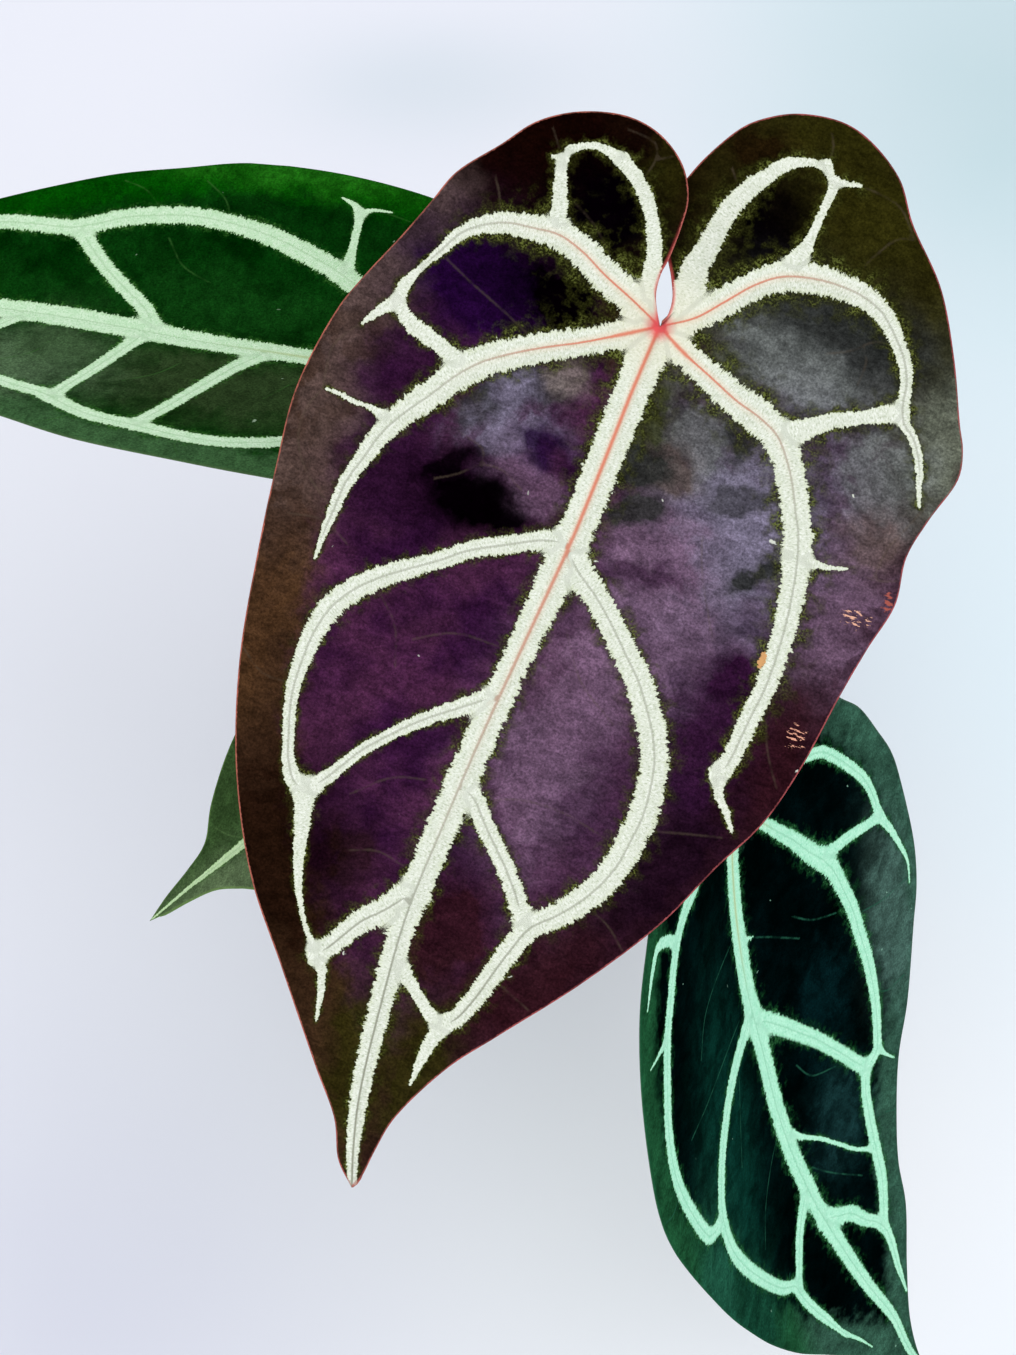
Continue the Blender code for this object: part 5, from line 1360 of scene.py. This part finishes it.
def loose_pieces(outer):
    """Bark chips, and at every eighth try a grain of perlite, where there is room."""
    pieces, placed = [], []
    for number in range(CHIP_TRIES):
        perlite = number % 8 == 0
        size = RNG.uniform(1.6, 3.6) if perlite else RNG.uniform(3.2, 10.5)
        radius = math.sqrt(RNG.random()) * (outer - 1.0 - size * 0.55)
        turn = RNG.uniform(0, 2 * math.pi)
        x, y = radius * math.cos(turn), radius * math.sin(turn)
        if radius < STEM_RADIUS + size * 0.5:
            continue
        if any(math.hypot(x - a, y - b) < 0.36 * (size + s) for a, b, s in placed):
            continue
        placed.append((x, y, size))
        flatness = RNG.uniform(0.75, 1.0) if perlite else RNG.uniform(0.28, 0.5)
        lump, faces = chunk(size, flatness, RNG.uniform(0, 50), 0.95 if perlite else 0.42)
        spin = Euler((RNG.gauss(0, 0.28), RNG.gauss(0, 0.28), RNG.uniform(0, 6.28))).to_matrix()
        sits = mix_height(x, y, outer) + size * flatness * 0.22
        lump = lump @ np.array(spin).T + (x, y, min(sits, POT_HEIGHT - 6.0))
        fields = {"tint": np.full(len(lump), RNG.random()), "kind": np.full(len(lump), float(perlite)),
                  "grain": lump - (x, y, 0) + (number * 13.0, 0, 0)}
        pieces.append((lump, faces, fields))
    return pieces


def potting_mix(look):
    slope = (POT_RIM_RADIUS - POT_RIM_STEP - POT_FOOT_RADIUS) / (POT_HEIGHT - POT_RIM_DEPTH)
    outer = POT_FOOT_RADIUS - POT_WALL + slope * (MIX_LEVEL - MIX_EDGE) - MIX_WALL_GAP
    pieces = [mix_body(outer), *loose_pieces(outer)]
    item = gathered("potting_mix_chunky", pieces, smooth=False)
    stand_for(item, "potting_mix", look)


def mix_look():
    g = Graph("bark_potting_mix")
    grain, tint, kind = g.vector("grain"), g.value("tint"), g.value("kind")
    fibres = g.noise(g.mapped(grain, (0.35, 1.8, 1.8)), 1.0, 4.0, 0.7)
    mottle = g.noise(grain, 0.5, 4.0, 0.65)
    stone = g.blend(g.level(mottle, 0.35, 0.7), srgb(224, 220, 208), srgb(188, 180, 164))
    colour = g.layered(
        srgb(58, 38, 26),
        (g.level(tint, 0.1, 0.9), srgb(120, 82, 54)),
        (g.level(fibres, 0.35, 0.68, 0.0, 0.75), srgb(92, 66, 46)),
        (g.level(mottle, 0.5, 0.7, 0.0, 0.6), srgb(40, 28, 20)),
        (g.level(kind, 0.4, 0.6), stone))
    g.bump(g.sum(fibres, mottle), 0.0006, 0.9)
    return g.finish(colour, g.level(mottle, 0.2, 0.8, 0.75, 0.95), specular=0.2)


def rounded(points, radius, parts=5):
    """A profile with its corners turned into short arcs."""
    line = [points[0]]
    for before, corner, after in zip(points, points[1:], points[2:]):
        b, c, a = (np.array(p, float) for p in (before, corner, after))
        reach = min(radius, 0.42 * np.linalg.norm(c - b), 0.42 * np.linalg.norm(a - c))
        p = c + (b - c) / np.linalg.norm(b - c) * reach
        q = c + (a - c) / np.linalg.norm(a - c) * reach
        for k in range(parts + 1):
            t = k / parts
            line.append(tuple((1 - t) ** 2 * p + 2 * t * (1 - t) * c + t ** 2 * q))
    return line + [points[-1]]


def pot_profile():
    """Radius and height from the middle of the floor, over the rim, to the middle below."""
    under_rim, rim_foot = POT_RIM_RADIUS - POT_RIM_STEP, POT_HEIGHT - POT_RIM_DEPTH
    line = rounded([
        (0, POT_BASE), (POT_FOOT_RADIUS - POT_WALL, POT_BASE), (under_rim - POT_WALL, rim_foot),
        (POT_RIM_RADIUS - POT_WALL, POT_HEIGHT), (POT_RIM_RADIUS, POT_HEIGHT),
        (POT_RIM_RADIUS - 0.8, rim_foot), (under_rim, rim_foot), (POT_FOOT_RADIUS, 0.0),
        (POT_FOOT_RADIUS - 4.5, 0.0), (POT_FOOT_RADIUS - 5.2, 0.7), (0, 0.7)], 0.8)
    profile = [line[0]]
    for a, b in zip(line, line[1:]):
        parts = max(1, int(math.dist(a, b) / POT_STEP))
        profile += [(a[0] + (b[0] - a[0]) * k / parts, a[1] + (b[1] - a[1]) * k / parts)
                    for k in range(1, parts + 1)]
    return profile


def drill(item):
    """Cuts the drain holes through the pot's floor."""
    holes = []
    for number in range(DRAIN_COUNT):
        angle = math.radians(DRAIN_TURN + 360.0 * number / DRAIN_COUNT)
        x, y = math.cos(angle) * DRAIN_CIRCLE * MM, math.sin(angle) * DRAIN_CIRCLE * MM
        bpy.ops.mesh.primitive_cylinder_add(vertices=HOLE_SIDES, radius=DRAIN_RADIUS * MM,
                                            depth=12 * MM, location=(x, y, 0.0))
        holes.append(bpy.context.active_object)
        cut = item.modifiers.new("drain", "BOOLEAN")
        cut.operation, cut.solver, cut.object = "DIFFERENCE", "EXACT", holes[-1]
    graph = bpy.context.evaluated_depsgraph_get()
    mesh = bpy.data.meshes.new_from_object(item.evaluated_get(graph))
    item.modifiers.clear()
    item.data = mesh
    for hole in holes:
        bpy.data.objects.remove(hole, do_unlink=True)


def pot(look):
    profile = pot_profile()
    points = [(0.0, 0.0, profile[0][1])]
    for radius, z in profile[1:-1]:
        points += ring(radius, z, POT_SIDES)
    points.append((0.0, 0.0, profile[-1][1]))
    item = add_object("pot_turned", points, turned_faces(len(profile) - 2, POT_SIDES))
    drill(item)
    item.data.shade_smooth()
    item.data.set_sharp_from_angle(angle=math.radians(42))
    stand_for(item, "pot", look)


def pot_look():
    g = Graph("matte_pot_plastic")
    where = g.node("ShaderNodeTexCoord").outputs["Object"]
    x, y, z = g.parts(where)
    round_and_up = g.joined(g.math("ARCTAN2", y, x), z)
    fine, broad = g.noise(where, 900.0, 3.0, 0.6), g.noise(where, 30.0, 4.0, 0.6)
    drawn = g.noise(g.mapped(round_and_up, (60.0, 25.0, 1.0)), 1.0, 3.0, 0.6)
    scuffs = g.noise(g.mapped(round_and_up, (5.0, 900.0, 1.0)), 1.0, 3.0, 0.7)
    dust = srgb(120, 108, 94)
    colour = g.layered(
        srgb(50, 51, 54),
        (g.level(broad, 0.3, 0.7), srgb(60, 61, 64)),
        (g.level(drawn, 0.45, 0.7, 0.0, 0.25), srgb(74, 75, 78)),
        (g.level(scuffs, 0.66, 0.74, 0.0, 0.5), srgb(98, 98, 98)),
        (g.product(g.level(z, 0.090, 0.104), g.level(broad, 0.35, 0.65), 0.35), dust),
        (g.product(g.level(z, 0.012, 0.0), g.level(broad, 0.3, 0.6), 0.3), dust))
    g.bump(g.sum(g.product(fine, 0.5), drawn), 0.00012, 0.5)
    return g.finish(colour, g.level(g.sum(broad, scuffs), 0.7, 1.3, 0.42, 0.62), specular=0.45)


# Stage

def floor_look():
    g = Graph("pale_floor_with_painted_light")
    where = g.node("ShaderNodeTexCoord").outputs["Object"]
    broad = g.noise(where, 3.2, 3.0)
    colour = g.layered(
        srgb(236, 238, 248),
        # Painted cyan light: paler cyan towards +x; painted shade: a darker cyan patch at the far right
        # corner.
        (g.level(g.parts(where)[0], -0.04, 0.2), srgb(229, 244, 252)),
        (g.product(g.patch(where, (0.19, 0.33), (0.12, 0.13)), 0.9), srgb(182, 212, 218)),
        (g.product(g.patch(where, (-0.06, 0.32), (0.07, 0.035)), 0.6), srgb(208, 220, 229)),
        # Painted light: a whiter patch in front of the pot that makes up for the plant's shadow.
        (g.patch(where, (0.04, -0.16), (0.17, 0.11)), srgb(247, 250, 255)),
        # Painted shade: a darker lavender patch at the front left.
        (g.patch(where, (-0.17, -0.20), (0.10, 0.10)), srgb(216, 218, 233)),
        (g.level(broad, 0.35, 0.65, 0.0, 0.3), srgb(236, 238, 245)))
    return g.finish(colour, 0.85, specular=0.1)


def floor():
    """A wide sheet just under the part's foot."""
    half, drop = 3000.0, 0.2
    corners = [(-half, -half, 0), (half, -half, 0), (half, half, 0), (-half, half, 0)]
    item = add_object("floor", corners, [(0, 1, 2, 3)], smooth=False)
    item.location.z = -drop * MM
    item.data.materials.append(floor_look())


def sky():
    """Light from all round, strongest at the horizon and below it."""
    low, high, strong, weak = 0.0, 0.8, 1.22, 0.70
    world = bpy.data.worlds.new("soft_room")
    world.use_nodes = True
    tree = world.node_tree
    shade = tree.nodes["Background"]
    shade.inputs["Color"].default_value = (0.97, 0.98, 1.0, 1.0)
    where = tree.nodes.new("ShaderNodeTexCoord")
    split = tree.nodes.new("ShaderNodeSeparateXYZ")
    ramp = tree.nodes.new("ShaderNodeMapRange")
    ramp.interpolation_type = "SMOOTHSTEP"
    for socket, value in zip(ramp.inputs[1:5], (low, high, strong, weak)):
        socket.default_value = value
    tree.links.new(where.outputs["Generated"], split.inputs[0])
    tree.links.new(split.outputs[2], ramp.inputs[0])
    tree.links.new(ramp.outputs[0], shade.inputs["Strength"])
    bpy.context.scene.world = world


def lamps():
    """A wide key lamp at the right, and a weaker one at the left, in metres and watts."""
    aim, size = Vector((0.0, -0.1, 0.2)), 2.4
    for name, place, power, tint in (
            ("key", (0.8, -0.8, 3.0), 25.0, (1.0, 0.985, 0.96)),
            ("fill", (-1.0, -1.7, 2.5), 14.5, (0.95, 0.97, 1.0))):
        light = bpy.data.lights.new(name, "AREA")
        light.energy, light.size, light.color = power, size, tint
        lamp = added(name, light)
        lamp.location = place
        lamp.rotation_euler = (aim - Vector(place)).to_track_quat("-Z", "Y").to_euler()


def camera():
    lens = bpy.data.cameras.new("camera")
    lens.lens, lens.sensor_width = CAMERA_LENS, CAMERA_SENSOR
    eye = added("camera", lens)
    eye.location = tuple(FACING * MM)
    eye.rotation_euler = (math.radians(CAMERA_PITCH), 0.0, 0.0)
    bpy.context.scene.camera = eye
    bpy.context.scene.view_settings.view_transform = "Standard"
    bpy.context.scene.view_settings.look = "None"


def build():
    pot(pot_look())
    potting_mix(mix_look())
    stem(stem_look())
    dry = sheath_look()
    for name, (bearing, half_span, height) in SHEATHS.items():
        sheath(name, bearing, half_span, height, dry)
    for name, (leaf_name, bearing, through, red) in STALKS.items():
        leaf_stalk(name, LEAVES[leaf_name], bearing, through, stalk_look(name + "_skin", red))
    for name, (slot, tone) in SKINS.items():
        blade = leaf_blade(name, LEAVES[name])
        stand_for(blade, name, leaf_look(name + "_skin", tone))
    floor()
    sky()
    lamps()
    camera()


build()
